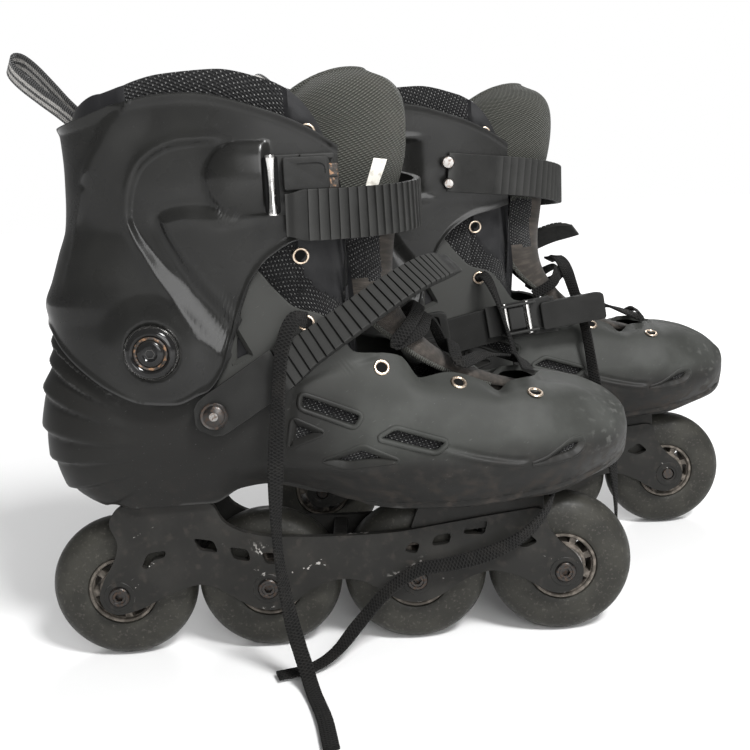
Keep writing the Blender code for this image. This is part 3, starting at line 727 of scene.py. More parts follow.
def shell_plastic():
    """Matte dark grey plastic: paler and scuffed over the toes, brown dust low down."""
    look = Look("shell_plastic", (0.014, 0.0138, 0.0130), 0.44)
    ankle = look.times(look.between(look.axis("X"), -75, -50), look.between(look.axis("Z"), 146, 162))
    look.tint(ankle, (0.040, 0.0405, 0.038))
    vamp = look.times(look.between(look.axis("X"), -14, 30), look.between(look.axis("Z"), 112, 124))
    look.tint(vamp, (0.033, 0.0342, 0.0315))
    look.roughen(vamp, 0.55)
    cloudy = look.cloud(0.42, 0.70, 26, 4)
    look.tint(look.times(look.times(cloudy, vamp), 0.5), (0.062, 0.064, 0.060))
    toe = look.between(look.axis("X"), 112, 158)
    scuffs = look.times(toe, look.cloud(0.52, 0.70, 3.2, 6, (2, 1, 1)))
    look.tint(look.times(scuffs, 0.45), (0.13, 0.13, 0.123))
    look.roughen(scuffs, 0.8)
    low = look.between(look.axis("Z"), 124, 94)
    low = look.times(low, look.between(look.axis("X"), -30, 40, 0.25, 1.0))
    dust = look.times(low, look.cloud(0.44, 0.70, 7, 6))
    look.tint(look.times(dust, 0.45), (0.060, 0.050, 0.043))
    look.roughen(dust, 0.8)
    marks = look.scratches(0.35, 0.74, 0.80, (0.4, 0.5, 0.1))
    look.tint(marks, (0.08, 0.08, 0.078))
    look.tint(look.times(look.edges(0.54, 0.66), 0.35), (0.08, 0.08, 0.078))
    look.bump(look.noise(0.7, 2), 0.02, 0.6)
    return look.bump(look.noise(3, 3), 0.03, 0.3).material


def moulded_plastic(name, colour, roughness, worn):
    """Matte moulded plastic with paler rubbed edges."""
    look = Look(name, colour, roughness)
    paler = tuple(min(1.0, c * 1.4) for c in colour)
    look.tint(look.cloud(0.42, 0.72, 16, 4), paler)
    look.roughen(look.cloud(0.40, 0.70, 4, 4), min(1.0, roughness + 0.15))
    look.tint(look.times(look.edges(), 0.7), worn)
    marks = look.scratches(0.3, 0.72, 0.78, (0.2, 0.4, 0.6))
    look.tint(marks, worn)
    return look.bump(look.noise(0.6, 2), 0.03, 0.7).material


def frame_paint():
    """Satin black paint on aluminium, chipped to bright metal near the second axle."""
    look = Look("frame_paint", (0.016, 0.0157, 0.0146), 0.42)
    look.tint(look.cloud(0.42, 0.70, 30, 4), (0.024, 0.0232, 0.0212))
    look.tint(look.times(look.cloud(0.52, 0.74, 5, 6), 0.4), (0.045, 0.039, 0.034))
    look.roughen(look.cloud(0.40, 0.70, 6, 4), 0.58)
    along = look.between(look.away(look.axis("X"), -26), 26, 8)
    up = look.between(look.away(look.axis("Z"), 51), 8, 2)
    specks = look.cloud(0.65, 0.67, 3.0, 4, (1.6, 1, 1))
    chips = look.times(along, look.times(up, specks))
    rims = look.times(look.edges(0.56, 0.66), look.cloud(0.56, 0.62, 2.2, 4))
    bare = look.math("MAXIMUM", chips, rims)
    look.tint(bare, (0.55, 0.53, 0.50))
    look.roughen(bare, 0.35)
    look.metal(bare)
    return look.bump(look.noise(1.2, 3), 0.03, 0.6).material


def urethane():
    """Dark brown-grey urethane, satin, with fine turned rings and a dusty tread."""
    look = Look("urethane", (0.023, 0.0225, 0.0195), 0.42, Coat_Weight=0.06, Coat_Roughness=0.35)
    look.tint(look.cloud(0.40, 0.70, 16, 4), (0.034, 0.0330, 0.028))
    look.tint(look.times(look.cloud(0.55, 0.74, 1.6, 5), 0.35), (0.11, 0.10, 0.088))
    look.roughen(look.cloud(0.40, 0.70, 3, 4), 0.62)
    look.bump(look.times(look.wave((0, 1), 1.3), 0.5), 0.02, 0.6)
    return look.bump(look.noise(0.8, 3), 0.04, 0.7).material


def wheel_core():
    """Brown-grey hub plastic with pale dust."""
    look = Look("wheel_core", (0.075, 0.066, 0.056), 0.55)
    look.tint(look.cloud(0.42, 0.66, 4, 5), (0.16, 0.14, 0.12))
    return look.bump(look.noise(0.8, 2), 0.04, 0.7).material


def dull_steel(name="dull_steel", colour=(0.30, 0.29, 0.28), rust=0.5):
    """Plated steel with brown tarnish."""
    look = Look(name, colour, 0.34, 1.0)
    spots = look.cloud(0.48, 0.64, 1.6, 6)
    look.tint(look.times(spots, rust), (0.16, 0.085, 0.045))
    look.roughen(spots, 0.6)
    return look.bump(look.noise(0.5, 3), 0.02, 0.6).material


def chrome():
    """Bright plated steel."""
    look = Look("chrome", (0.72, 0.71, 0.69), 0.14, 1.0)
    look.roughen(look.cloud(0.45, 0.70, 2, 5), 0.34)
    return look.material


def brass():
    """Pale brass of the eyelet rings, darker in patches."""
    look = Look("pale_brass", (0.62, 0.52, 0.42), 0.28, 1.0)
    look.tint(look.cloud(0.50, 0.70, 1.2, 4), (0.32, 0.22, 0.14))
    look.roughen(look.cloud(0.45, 0.65, 0.8, 3), 0.5)
    return look.material


def gloss_black():
    """Glossy black moulding of the pivot caps."""
    look = Look("gloss_black", (0.006, 0.006, 0.006), 0.14, Coat_Weight=0.3, Coat_Roughness=0.08)
    look.roughen(look.cloud(0.50, 0.75, 2.5, 5), 0.30)
    look.tint(look.times(look.edges(), 0.4), (0.06, 0.058, 0.055))
    return look.material


def rusty_ring():
    """The tarnished ring inside the pivot cap."""
    look = Look("rusty_ring", (0.035, 0.030, 0.026), 0.5, 0.4)
    look.tint(look.cloud(0.50, 0.64, 2.2, 6), (0.26, 0.15, 0.085))
    look.roughen(look.cloud(0.45, 0.62, 1.0, 4), 0.8)
    return look.bump(look.noise(0.7, 4), 0.08).material


def spacer_mesh():
    """Coarse black netting with pale specks in slanting rows."""
    look = Look("spacer_mesh", (0.011, 0.011, 0.0115), 0.75, Sheen_Weight=0.08, Sheen_Roughness=0.5)
    rows = look.wave((0.9, 0.45), 1.9)
    lines = look.wave((-0.25, 1.0), 1.5)
    knots = look.times(look.between(rows, 0.05, 0.9), look.between(lines, 0.0, 0.8))
    uneven = look.cloud(0.34, 0.62, 1.4, 3, flat=True)
    specks = look.times(knots, uneven)
    look.tint(specks, (0.20, 0.20, 0.195))
    height = look.math("ADD", look.times(rows, lines), specks)
    return look.bump(height, 0.45).material


def smooth_lining():
    """Smooth black synthetic leather of the liner's panels."""
    look = Look("smooth_lining", (0.013, 0.013, 0.014), 0.46, Sheen_Weight=0.08, Sheen_Roughness=0.4)
    look.tint(look.cloud(0.42, 0.72, 16, 4), (0.022, 0.022, 0.023))
    look.bump(look.cells(1.1), 0.05, 0.8)
    return look.bump(look.noise(7, 3), 0.25, 0.5).material


def tongue_cloth():
    """Grey-olive cloth with a fine slanting rib."""
    look = Look("tongue_cloth", (0.056, 0.057, 0.049), 0.88, Sheen_Weight=0.10, Sheen_Roughness=0.5)
    rib = look.wave((1.0, 0.75), 1.25)
    cross = look.wave((0.7, -1.0), 2.1)
    look.tint(look.between(look.times(rib, cross), 0.15, 0.8), (0.115, 0.117, 0.102))
    look.tint(look.between(rib, 0.1, -0.9), (0.024, 0.0245, 0.021))
    look.tint(look.times(look.cloud(0.45, 0.70, 12, 4, flat=True), 0.35),
              (0.06, 0.058, 0.05))
    return look.bump(look.math("ADD", rib, look.times(cross, 0.4)), 0.30).material


def tongue_backing():
    """Brownish smooth cloth low on the tongue."""
    look = Look("tongue_backing", (0.036, 0.032, 0.028), 0.7, Sheen_Weight=0.1)
    look.tint(look.cloud(0.42, 0.68, 3, 5, (1, 6, 1), flat=True), (0.062, 0.053, 0.046))
    return look.bump(look.wave((1, 0), 0.8), 0.06).material


def lace_cloth():
    """Flat black braid with herringbone ribs."""
    look = Look("lace_cloth", (0.005, 0.005, 0.0048), 0.85, Sheen_Weight=0.02, Sheen_Roughness=0.5)
    one, other = look.wave((1.0, 0.55), 1.9), look.wave((1.0, -0.55), 1.9)
    braid = look.math("MAXIMUM", one, other)
    look.tint(look.between(braid, 0.35, 1.0), (0.013, 0.0127, 0.0122))
    look.tint(look.times(look.cloud(0.45, 0.70, 9, 4), 0.4), (0.020, 0.0187, 0.0168))
    return look.bump(braid, 0.35).material


LOOP_STRIPES = (4.0, 9.0, 18.6, 23.6)


def webbing():
    """Black webbing with two worn pale stripes along each face; its flat map goes round both faces."""
    look = Look("webbing", (0.017, 0.017, 0.017), 0.85, Sheen_Weight=0.3)
    across = look.axis("Y", flat=True)
    rib = look.wave((1.0, 0), 1.1)
    for middle in LOOP_STRIPES:
        stripe = look.between(look.away(across, middle), 1.55, 1.25)
        worn = look.cloud(0.68, 0.54, 1.2, 4, (4, 1, 1), flat=True)
        look.tint(look.times(stripe, worn), (0.46, 0.445, 0.42))
    return look.bump(rib, 0.25).material


def white_label():
    """A blank woven label."""
    look = Look("white_label", (0.78, 0.76, 0.70), 0.7)
    look.tint(look.cloud(0.5, 0.75, 3, 4), (0.55, 0.52, 0.46))
    return look.bump(look.wave((0, 1), 0.5, flat=False), 0.03).material


CUFF_PLASTIC = cuff_plastic()
SHELL_PLASTIC = shell_plastic()
STRAP_PLASTIC = moulded_plastic("strap_plastic", (0.011, 0.011, 0.0105), 0.55, (0.05, 0.05, 0.048))
BUCKLE_PLASTIC = moulded_plastic("buckle_plastic", (0.013, 0.013, 0.0125), 0.46, (0.06, 0.06, 0.058))
# Near-black painted shade for the eyelets' openings and the cuff ratchet's slot, made with the plastic
# recipe.
PAINTED_SHADE_BLACK = moulded_plastic("painted_shade_black", (0.004, 0.004, 0.004), 0.9, (0.005, 0.005, 0.005))
FRAME_PAINT = frame_paint()
URETHANE = urethane()
WHEEL_CORE = wheel_core()
STEEL = dull_steel()
DARK_STEEL = dull_steel("dark_steel", (0.055, 0.052, 0.05), 0.25)
CHROME = chrome()
BRASS = brass()
GLOSS_BLACK = gloss_black()
RUSTY_RING = rusty_ring()
SPACER_MESH = spacer_mesh()
LINING = smooth_lining()
TONGUE_CLOTH = tongue_cloth()
TONGUE_BACKING = tongue_backing()
LACE_CLOTH = lace_cloth()
WEBBING = webbing()
LABEL = white_label()


# ---------------------------------------------------------------- placing
def place(name, mesh, body, materials, replaces=(), crease=38, weighted=True):
    """Add a piece, modelled in millimetres for the right skate, to both skates."""
    made = {}
    for side, mirror in SIDES.items():
        copy = mesh.copy()
        copy.transform(Matrix.Diagonal((MM, MM * mirror, MM, 1.0)))
        if mirror < 0:
            copy.flip_normals()
        if not len(copy.materials):
            for material in materials:
                copy.materials.append(material)
        copy.shade_smooth()
        copy.set_sharp_from_angle(angle=math.radians(crease))
        piece = put(f"{side}_{name}", copy)
        piece.location = ORIGINS[side]
        if weighted:
            piece.modifiers.new("flat faces", "WEIGHTED_NORMAL").keep_sharp = True
        if body:
            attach(piece, f"{side}_{body}")
        if replaces:
            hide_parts(*[f"{side}_{node}" for node in replaces])
        made[side] = piece
    return made


def facing_out(mesh, centre):
    """Turn a sheet's faces away from centre."""
    points, normals = points_of(mesh)
    if ((points - np.array(centre)) * normals).sum() < 0:
        mesh.flip_normals()
    return mesh


def pivot_hole(side, start):
    """A cutter for the pivot's hole in one side wall, from start millimetres out."""
    return cylinder(4.3, side * start, side * 70, 24, PIVOT)


# ---------------------------------------------------------------- laces
CROSSING_ROUTE = [(104, -18, 152.5), (103, 0, 155.5), (101, 20, 153), (84, 2, 159), (68, -22, 160),
                  (66, 0, 167), (64, 23, 160), (54, 1, 182), (49, -16, 177), (34, -28, 172), (41, -27, 180),
                  (47, -14, 186), (49, 0, 188), (47, 14, 186), (41, 27, 180), (28, 29, 173)]
TAIL_ROUTES = {
    ("right", "outer"): [(-9, -40.5, 189), (-15, -49, 190), (-21, -56, 176), (-25, -58, 145),
                         (-29, -57, 105), (-30, -53, 70), (-26, -52, 35), (-20, -56, 10), (-16, -68, 3),
                         (-10, -92, 2.9), (-6, -118, 2.9)],
    ("right", "inner"): [(-9, 40.5, 189), (-4, 51, 186), (8, 58, 165), (40, 62, 120), (75, 58, 92),
                         (100, 42, 84), (116, 22, 85.5), (117, 0, 85.5), (116, -16, 85.5), (111, -27, 80),
                         (98, -28, 66), (80, -26, 56), (60, -25.5, 51), (41, -25.8, 48.5), (24, -27, 38),
                         (8, -30, 22), (-5, -35, 9), (-18, -41, 3.5), (-36, -47, 2.9)],
    ("left", "inner"): [(-9, -40.5, 189), (-5, -51, 187), (2, -58, 168), (12, -59, 130), (20, -58, 95),
                        (24, -55, 50), (24, -54, 15), (14, -56, 3.5), (-10, -52, 2.9), (-36, -46, 2.9)],
    ("left", "outer"): [(46, 12, 192), (50, -2, 194), (52, -18, 188), (54, -34, 174), (58, -48, 152),
                        (62, -57, 118), (70, -60, 80), (74, -60, 40), (72, -62, 12), (56, -70, 3.2),
                        (20, -74, 2.9), (-30, -70, 2.9), (-80, -66, 2.9), (-130, -60, 2.9),
                        (-170, -62, 2.9)],
}
TAIL_TWISTS = {("right", "outer"): 50, ("right", "inner"): 60, ("left", "inner"): -60, ("left", "outer"): 70}


def lace_profile():
    """The flat lace's section: a thin bar with round edges."""
    half, thick = LACE_WIDTH / 2, LACE_THICKNESS / 2
    turn = np.radians(np.linspace(-90, 90, 5))
    right = [(half - thick + thick * math.cos(a), thick * math.sin(a)) for a in turn]
    left = [(-x, -z) for x, z in right]
    return np.array(right + left)


def turned_out(out, ahead, angles):
    """Turn the out directions about the path by angles in degrees."""
    out = unit(out - ahead * (out * ahead).sum(axis=1, keepdims=True))
    across = np.cross(ahead, out)
    angles = np.radians(angles)[:, None]
    return out * np.cos(angles) + across * np.sin(angles)


def tail_mesh(route, twist):
    """A hanging lace: its flat side faces outwards on the way down and lies flat on the ground."""
    path = smooth_path(route, 150)
    ahead = unit(np.gradient(path, axis=0))
    raised = smooth_step(path[:, 2], 4, 26)[:, None]
    out = np.array([0.25, -1.0, 0.1]) * raised + np.array([0.0, -0.1, 1.0]) * (1 - raised)
    share = np.linspace(0, 1, len(path))
    angles = twist * np.sin(2 * math.pi * share * 1.5) * raised[:, 0]
    out = turned_out(out, ahead, angles)
    return path, sweep(path, lace_profile(), out)


def crossings_mesh():
    """The lace through the eyelets, with its flat side on the tongue."""
    path = smooth_path(CROSSING_ROUTE, 170)
    ahead = unit(np.gradient(path, axis=0))
    out = np.tile(np.array([0.55, 0.0, 0.85]), (len(path), 1)) + np.array([0, 0.03, 0]) * path[:, 1:2]
    out = turned_out(out, ahead, 14 * np.sin(path[:, 1] / 9))
    return sweep(path, lace_profile() * (0.85, 1.0), out)


def make_laces():
    """The laces: the part through the eyelets and two loose tails on each skate."""
    place("lace_through_eyelets", crossings_mesh(), "skate", [LACE_CLOTH], ["lace_crossings"],
          weighted=False)
    for (side, name), route in TAIL_ROUTES.items():
        path, mesh = tail_mesh(route, TAIL_TWISTS[side, name])
        mesh.transform(Matrix.Diagonal((MM, MM, MM, 1.0)))
        mesh.materials.append(LACE_CLOTH)
        mesh.shade_smooth()
        tail = put(f"{side}_{name}_lace_tail", mesh)
        tail.location = ORIGINS[side]
        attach(tail, f"{side}_skate")
        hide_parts(f"{side}_lace_tail_{name}")


# ---------------------------------------------------------------- wheels, bearings and axles
CORE_RADIUS = 18.8
SLOT_COUNT = 8


def tyre_mesh():
    """The urethane tyre, round in section, cast on to its core."""
    side = [(CORE_RADIUS, 10.2), (CORE_RADIUS + 0.5, 11.1), (21.5, 11.7), (26, 11.8), (31, 11.4),
            (34.3, 10.3), (36.8, 8.6), (38.7, 6.1), (39.7, 3.2), (WHEEL_RADIUS, 0)]
    half = smooth_path(side, 26)
    profile = list(half) + [(r, -y) for r, y in half[-2::-1]]
    return turned(profile, 112, (0, WHEEL_RADIUS))


def core_mesh():
    """The hub: a ring under the tyre, a recessed web with slots and a seat for each bearing."""
    side = [(8.0, 4.2), (11.2, 4.2), (11.2, 11.4), (12.3, 11.4), (12.8, 10.6), (12.8, 8.6), (16.9, 8.6),
            (16.9, 10.4), (17.3, 10.9), (18.4, 10.9), (CORE_RADIUS + 0.2, 10.0)]
    core = turned(side + [(r, -y) for r, y in reversed(side)], 80, (0, WHEEL_RADIUS))
    cutters = []
    for k in range(SLOT_COUNT):
        middle = 2 * math.pi * (k + 0.5) / SLOT_COUNT
        reach = math.pi / SLOT_COUNT * 0.68
        turns = np.linspace(middle - reach, middle + reach, 7)
        outline = [(13.2 * math.cos(a), 13.2 * math.sin(a) + WHEEL_RADIUS) for a in turns]
        outline += [(16.5 * math.cos(a), 16.5 * math.sin(a) + WHEEL_RADIUS) for a in turns[::-1]]
        cutters.append(prism(outline, -14, 14))
    return bevelled(cut(core, cutters), 0.3, 2, 50)


def bearing_mesh():
    """The two bearings, each with a recessed shield, and the spacer between them."""
    parts = []
    for end in (-1, 1):
        inner_race = [(4.0, 12.0), (6.0, 12.0), (6.3, 11.7), (6.3, 5.2), (4.0, 5.2)]
        outer_race = [(9.2, 11.7), (9.5, 12.0), (10.7, 12.0), (11.0, 11.7), (11.0, 5.2), (9.2, 5.2)]
        shield = [(6.3, 11.4), (9.2, 11.4), (9.2, 5.6), (6.3, 5.6)]
        for profile, number in ((inner_race, 0), (outer_race, 0), (shield, 1)):
            ring = turned([(r, end * y) for r, y in profile], 48, (0, WHEEL_RADIUS))
            parts.append(slotted(ring, number))
    tube = [(4.0, -5.1), (5.5, -5.1), (5.5, 5.1), (4.0, 5.1)]
    parts.append(slotted(turned(tube, 32, (0, WHEEL_RADIUS)), 0))
    return merged(parts)


def axle_mesh():
    """The axle bolt: a countersunk head with a hexagonal socket, and a plain shaft."""
    face = -FRAME_HALF_WIDTH - 1.6
    profile = [(0, face + 0.4), (3.4, face + 0.4), (3.7, face), (4.9, face), (5.4, face + 0.5),
               (5.4, -FRAME_HALF_WIDTH - 0.2), (3.7, -FRAME_HALF_WIDTH + 0.1),
               (3.7, FRAME_HALF_WIDTH - 0.4), (3.3, FRAME_HALF_WIDTH), (0, FRAME_HALF_WIDTH)]
    bolt = turned(profile, 48, (0, WHEEL_RADIUS))
    socket = prism(circle(2.4, 6, (0, WHEEL_RADIUS)), face - 2, face + 2.6)
    return cut(bolt, [socket])


def make_wheels():
    """Four wheels with their bearings and axles on each skate."""
    tyre, core, bearings, axle = tyre_mesh(), core_mesh(), bearing_mesh(), axle_mesh()
    for number, x in enumerate(AXLE_XS, start=1):
        there = Matrix.Translation((x, 0, 0))
        moved = []
        for k, mesh in enumerate((tyre, core, bearings, axle)):
            copy = mesh.copy()
            turn = Matrix.Rotation(0.7 * number, 4, "Y") if k < 2 else Matrix.Identity(4)
            hub = Matrix.Translation((0, 0, WHEEL_RADIUS))
            copy.transform(there @ hub @ turn @ hub.inverted())
            moved.append(copy)
        place(f"tyre_{number}", moved[0], f"wheel_{number}", [URETHANE], [f"wheel_{number}"],
              weighted=False)
        place(f"wheel_core_{number}", moved[1], f"wheel_{number}", [WHEEL_CORE])
        place(f"bearings_{number}", moved[2], f"wheel_{number}", [STEEL, DARK_STEEL],
              [f"bearing_set_{number}"])
        place(f"axle_bolt_{number}", moved[3], "skate", [DARK_STEEL], [f"axle_{number}"])


# ---------------------------------------------------------------- frame
PLATE_OUTLINE = [
    (-118, REAR_MOUNT_Z), (-67, REAR_MOUNT_Z), (-63, 80), (-55, 74), (-40, 69.5), (-15, 68), (11, 67.5),
    (31, 68), (50, 70.5), (80, 74.5), (106, 77.5), (111, 76), (113, 66), (119, 57), (129, 48), (132, 41),
    (130, 32), (121, 27), (112, 29), (97, 39), (82, 44), (68, 40), (52, 29.5), (40, 26.5), (29, 29.5),
    (13, 41), (0, 43.5), (-13, 41), (-29, 29.5), (-40, 26.5), (-52, 30.5), (-67, 42), (-78, 45), (-94, 40),
    (-110, 32), (-123, 29), (-130, 32), (-133, 40), (-129, 50), (-122, 61), (-119, 70), (-124, 82)]
PEDESTAL_OUTLINE = [(38, 68), (42, 79), (48, FRONT_MOUNT_Z), (111, FRONT_MOUNT_Z), (111, 70), (70, 66)]
WINDOWS = [
    [(-79, 71), (-68, 69), (-66, 62), (-76, 64)],
    [(-60, 65), (-50, 63), (-49, 56), (-58, 58)],
    [(-43, 61), (-33, 60), (-34, 54), (-41, 54)],
    [(34, 57), (38, 62), (43, 61), (41, 55)],
    [(49, 59), (51, 65), (60, 66), (59, 60)],
    [(66, 65), (69, 70), (80, 72), (78, 64)],
    [(92, 58), (101, 64), (107, 58), (100, 55)],
    [(-108, 56), (-104, 64), (-94, 65), (-95, 61), (-102, 60), (-105, 55)]]


def frame_mesh():
    """Two side plates with lightening holes, the mounting blocks, and webs between the wheels."""
    inner = FRAME_HALF_WIDTH - PLATE_THICKNESS
    cutters = [prism(rounded(window, 2.4, 5), -30, 30) for window in WINDOWS]
    cutters += [prism(circle(4.2, 24, (x, WHEEL_RADIUS)), -30, 30) for x in AXLE_XS]
    parts = []
    for side in (-1, 1):
        plate = prism(rounded(PLATE_OUTLINE, 7, 7), side * inner, side * FRAME_HALF_WIDTH)
        parts.append(bevelled(cut(plate, cutters), 0.7, 3, 55))
        ledge = prism(rounded(PEDESTAL_OUTLINE, 2.5, 5), side * (inner - 1.5), side * (inner + 1.6))
        parts.append(bevelled(ledge, 0.5, 2, 55))
        for x in AXLE_XS:
            boss = [(4.3, 12.3), (6.2, 12.3), (6.8, inner + 0.5), (4.3, inner + 0.5)]
            pad = [(5.6, FRAME_HALF_WIDTH - 0.5), (8.4, FRAME_HALF_WIDTH - 0.5),
                   (8.4, FRAME_HALF_WIDTH + 0.1), (8.1, FRAME_HALF_WIDTH + 0.35),
                   (5.9, FRAME_HALF_WIDTH + 0.35), (5.6, FRAME_HALF_WIDTH + 0.1)]
            for profile, sides in ((boss, 32), (pad, 48)):
                parts.append(turned([(r, side * y) for r, y in profile], sides, (x, WHEEL_RADIUS)))
    reach = inner + 1.5
    parts.append(block((-116, -reach, 84), (-69, reach, REAR_MOUNT_Z - 0.4), 1.0))
    parts.append(block((50, -reach, 81.6), (109, reach, FRONT_MOUNT_Z - 0.4), 1.0))
    for x in (-WHEEL_PITCH, 0, WHEEL_PITCH):
        parts.append(block((x - 4, -reach, 62), (x + 4, reach, 66.5), 1.2))
    return merged(parts)


def make_frame():
    """The four-wheel frame."""
    place("frame_casting", frame_mesh(), "skate", [FRAME_PAINT], ["frame"])


# ---------------------------------------------------------------- boot walls
class Boot:
    """A boot-shaped wall: a row of upright profiles set around the outline of the foot."""

    def __init__(self, curves, heel_x, heel_reach, heel_rim, side_xs, rows, heel_steps):
        self.curves = {key: smooth_function(points) for key, points in curves.items()}
        self.heel_x = heel_x
        self.heel_reach = smooth_function(heel_reach)
        self.heel_rim = heel_rim
        self.side_xs = side_xs
        self.rows = rows
        self.heel_steps = heel_steps

    def profile(self, x):
        """The wall's (half width, height) points at x, from the sole's middle to the rim."""
        at = {key: float(curve(x)) for key, curve in self.curves.items()}
        knots = [(at["sole"], at["sole_z"]), (at["wide"], at["wide_z"]),
                 (at["shoulder"], at["shoulder_z"]), (at["rim"], at["rim_z"])]
        wall = smooth_path(knots, self.rows)
        sole = [(at["sole"] * k / 4, at["sole_z"]) for k in range(4)]
        return np.vstack([sole, wall])

    def half_columns(self):
        """Columns from the middle of the toe, along one side, to the middle of the heel."""
        columns = []
        for x in self.side_xs:
            profile = self.profile(x)
            shift = np.full(len(profile), self.curves["middle"](x))
            columns.append(np.column_stack([np.full(len(profile), x), profile[:, 0], profile[:, 1], shift]))
        base = self.profile(self.heel_x)
        rim_z = base[-1, 1]
        wide_z = self.curves["wide_z"](self.heel_x)
        for k in range(1, self.heel_steps + 1):
            turn = math.pi / 2 * k / self.heel_steps
            back_rim = rim_z + (self.heel_rim - rim_z) * math.sin(turn)**2
            w, z = base[:, 0], base[:, 1]
            z = np.where(z > wide_z, wide_z + (z - wide_z) * (back_rim - wide_z) / (rim_z - wide_z), z)
            inner = smooth_step(w, 0, base[3, 0])
            reach = self.heel_reach(z) * inner
            back = self.heel_x - reach * math.sin(turn)
            columns.append(np.column_stack([back, w * math.cos(turn), z, 0 * z]))
        return np.array(columns)

    def sheet(self, wrap_toe=False):
        """The whole wall, both sides, as one sheet that faces out."""
        half = self.half_columns()
        inner = np.stack([half[..., 0], half[..., 3] + half[..., 1], half[..., 2]], axis=-1)
        outer = np.stack([half[..., 0], half[..., 3] - half[..., 1], half[..., 2]], axis=-1)
        table = np.concatenate([inner, outer[-2::-1]])
        mesh = tidy(grid(table, wrap_u=wrap_toe), 0.05)
        return facing_out(mesh, (self.heel_x + 60, 0, 150))


def stations(start, end, step, fixed=()):
    """Evenly spaced values from start down to end, with the fixed ones among them."""
    count = int(round((start - end) / step)) + 1
    values = [v for v in np.linspace(start, end, count) if all(abs(v - f) > 0.35 * step for f in fixed)]
    return sorted(values + list(fixed), reverse=True)


# ---------------------------------------------------------------- shell
SHELL_CURVES = {
    "middle": [(-105, 0), (0, -1), (60, -1), (110, 2), (145, 5), (160, 6)],
    "sole": [(-105, 24), (-60, 22), (-30, 23), (20, 29), (70, 34), (110, 31), (140, 18), (150, 13),
             (156, 8.5), (159, 4.5), (160, 2)],
    "sole_z": [(-105, REAR_MOUNT_Z + 0.3), (-66, REAR_MOUNT_Z + 0.3), (-50, 99), (-35, 101), (-10, 96),
               (20, 88), (45, FRONT_MOUNT_Z + 0.3), (111, FRONT_MOUNT_Z + 1.8), (135, 92), (150, 96.5),
               (156, 100), (159, 104), (160, 108)],
    "wide": [(-105, 37), (-60, 39), (-20, 41), (20, 45), (60, 49), (95, 48), (120, 42), (140, 31),
             (147, 26), (152, 20.5), (155.5, 15.5), (158, 10.5), (159.4, 6), (160, 2.5)],
    "wide_z": [(-105, 128), (-40, 124), (20, 114), (80, 110), (130, 112), (160, 115)],
    "shoulder": [(-105, 34.5), (-40, 38.5), (0, 38), (27, 38), (66, 38), (106, 36), (125, 28), (140, 21),
                 (150, 14.5), (156, 9.5), (159, 5), (160, 2)],
    "shoulder_z": [(-105, 175), (-40, 170), (0, 156), (27, 150), (66, 141), (106, 139), (125, 137),
                   (145, 131), (156, 126), (159, 124), (160, 121)],
    "rim": [(-105, 34), (-40, 37.5), (-8, 37), (14, 35), (27, 29), (66, 23), (100, 17), (108, 11), (113, 0),
            (160, 0)],
    "rim_z": [(-105, 214), (-60, 217), (-34, 216), (-24, 205), (-14, 195), (-2, 191), (6, 182), (14, 171),
              (24, 169), (36, 166), (46, 153), (60, 155), (78, 149), (88, 142), (95, 147), (113, 148),
              (130, 145), (146, 138), (155, 131), (159, 126), (160, 123)],
}
SHELL_HEEL_REACH = [(91, 15), (96, 31), (100, 38), (106, 42), (119, 47), (135, 49), (150, 48), (168, 42),
                    (180, 39), (191, 36), (197, 31), (214, 25)]
VENTS = {
    "upper": [(-14, 152), (16, 140), (12, 134), (-15, 145)],
    "rear": [(-19, 140), (-3, 132), (-22, 125)],
    "lower": [(-6, 117), (15, 125), (34, 116), (6, 113)],
    "front": [(23, 128), (32, 133), (58, 125), (52, 120)],
    "toe": [(99, 109.8), (108, 112), (116, 116.5), (121, 119.6), (126, 120.5), (129, 118.5), (129, 115),
            (125, 111.5), (115, 109.6)],
}
ANKLE_WINDOW = [(-46, 192), (-36, 172), (-48, 167)]
FAN_CENTRE = (-70, 123)
FAN_RIDGES = [38, 31, 20.6, 7, -4.5, -17.5]
FAN_END = -31
VAMP_EDGE = [(-23, 100), (-23, 124), (-21, 139), (-17, 152), (-14, 158), (6, 165), (24, 168)]
VAMP_FRONT = [(30, 180), (200, 180), (200, 100)]
SIDE_RIDGE = [(55, 119.5), (62, 117.5), (76, 113.5), (90, 110.5), (99, 109.5)]
CHEEK_RIDGE = [(-37, 119), (-20, 115), (-3, 113), (20, 110), (40, 113)]
SOLE_LINE = [(-40, 104), (-14, 98), (-2, 93), (6, 90), (29, 88.6), (73, 89), (116, 93), (140, 98),
             (152, 103)]
SHELL_EYELETS = [(27, 162), (66, 151), (105, 143.5), (-9, 187)]
HEEL_BEAD = [(-138, 186), (-130, 181), (-126, 177), (-117, 168), (-101, 155), (-92, 151)]


def heel_fan(points):
    """The fan of ribs round the heel: each drops steeply below its ridge and rises slowly to the next."""
    x, z = points[:, 0] - FAN_CENTRE[0], points[:, 2] - FAN_CENTRE[1]
    radius = np.hypot(np.hypot(x, points[:, 1] * 0.55), z)
    angle = np.degrees(np.arctan2(z, np.hypot(x, points[:, 1] * 0.35)))
    height = np.zeros(len(points))
    edges = FAN_RIDGES + [FAN_END]
    for high, low in zip(edges, edges[1:]):
        share = (high - angle) / (high - low)
        rib = share * np.clip((1 - share) / 0.17, 0, 1)
        height = np.where((share >= 0) & (share < 1), rib, height)
    above = np.clip((angle - FAN_RIDGES[0]) / 6, 0, 1)
    height = np.where(angle > FAN_RIDGES[0], 0.9 * smooth_step(1 - above, 0, 1), height)
    behind = smooth_step(-x, 18, 42)
    return 3.0 * height * np.clip((radius - 33) / 34, 0, 1) * behind


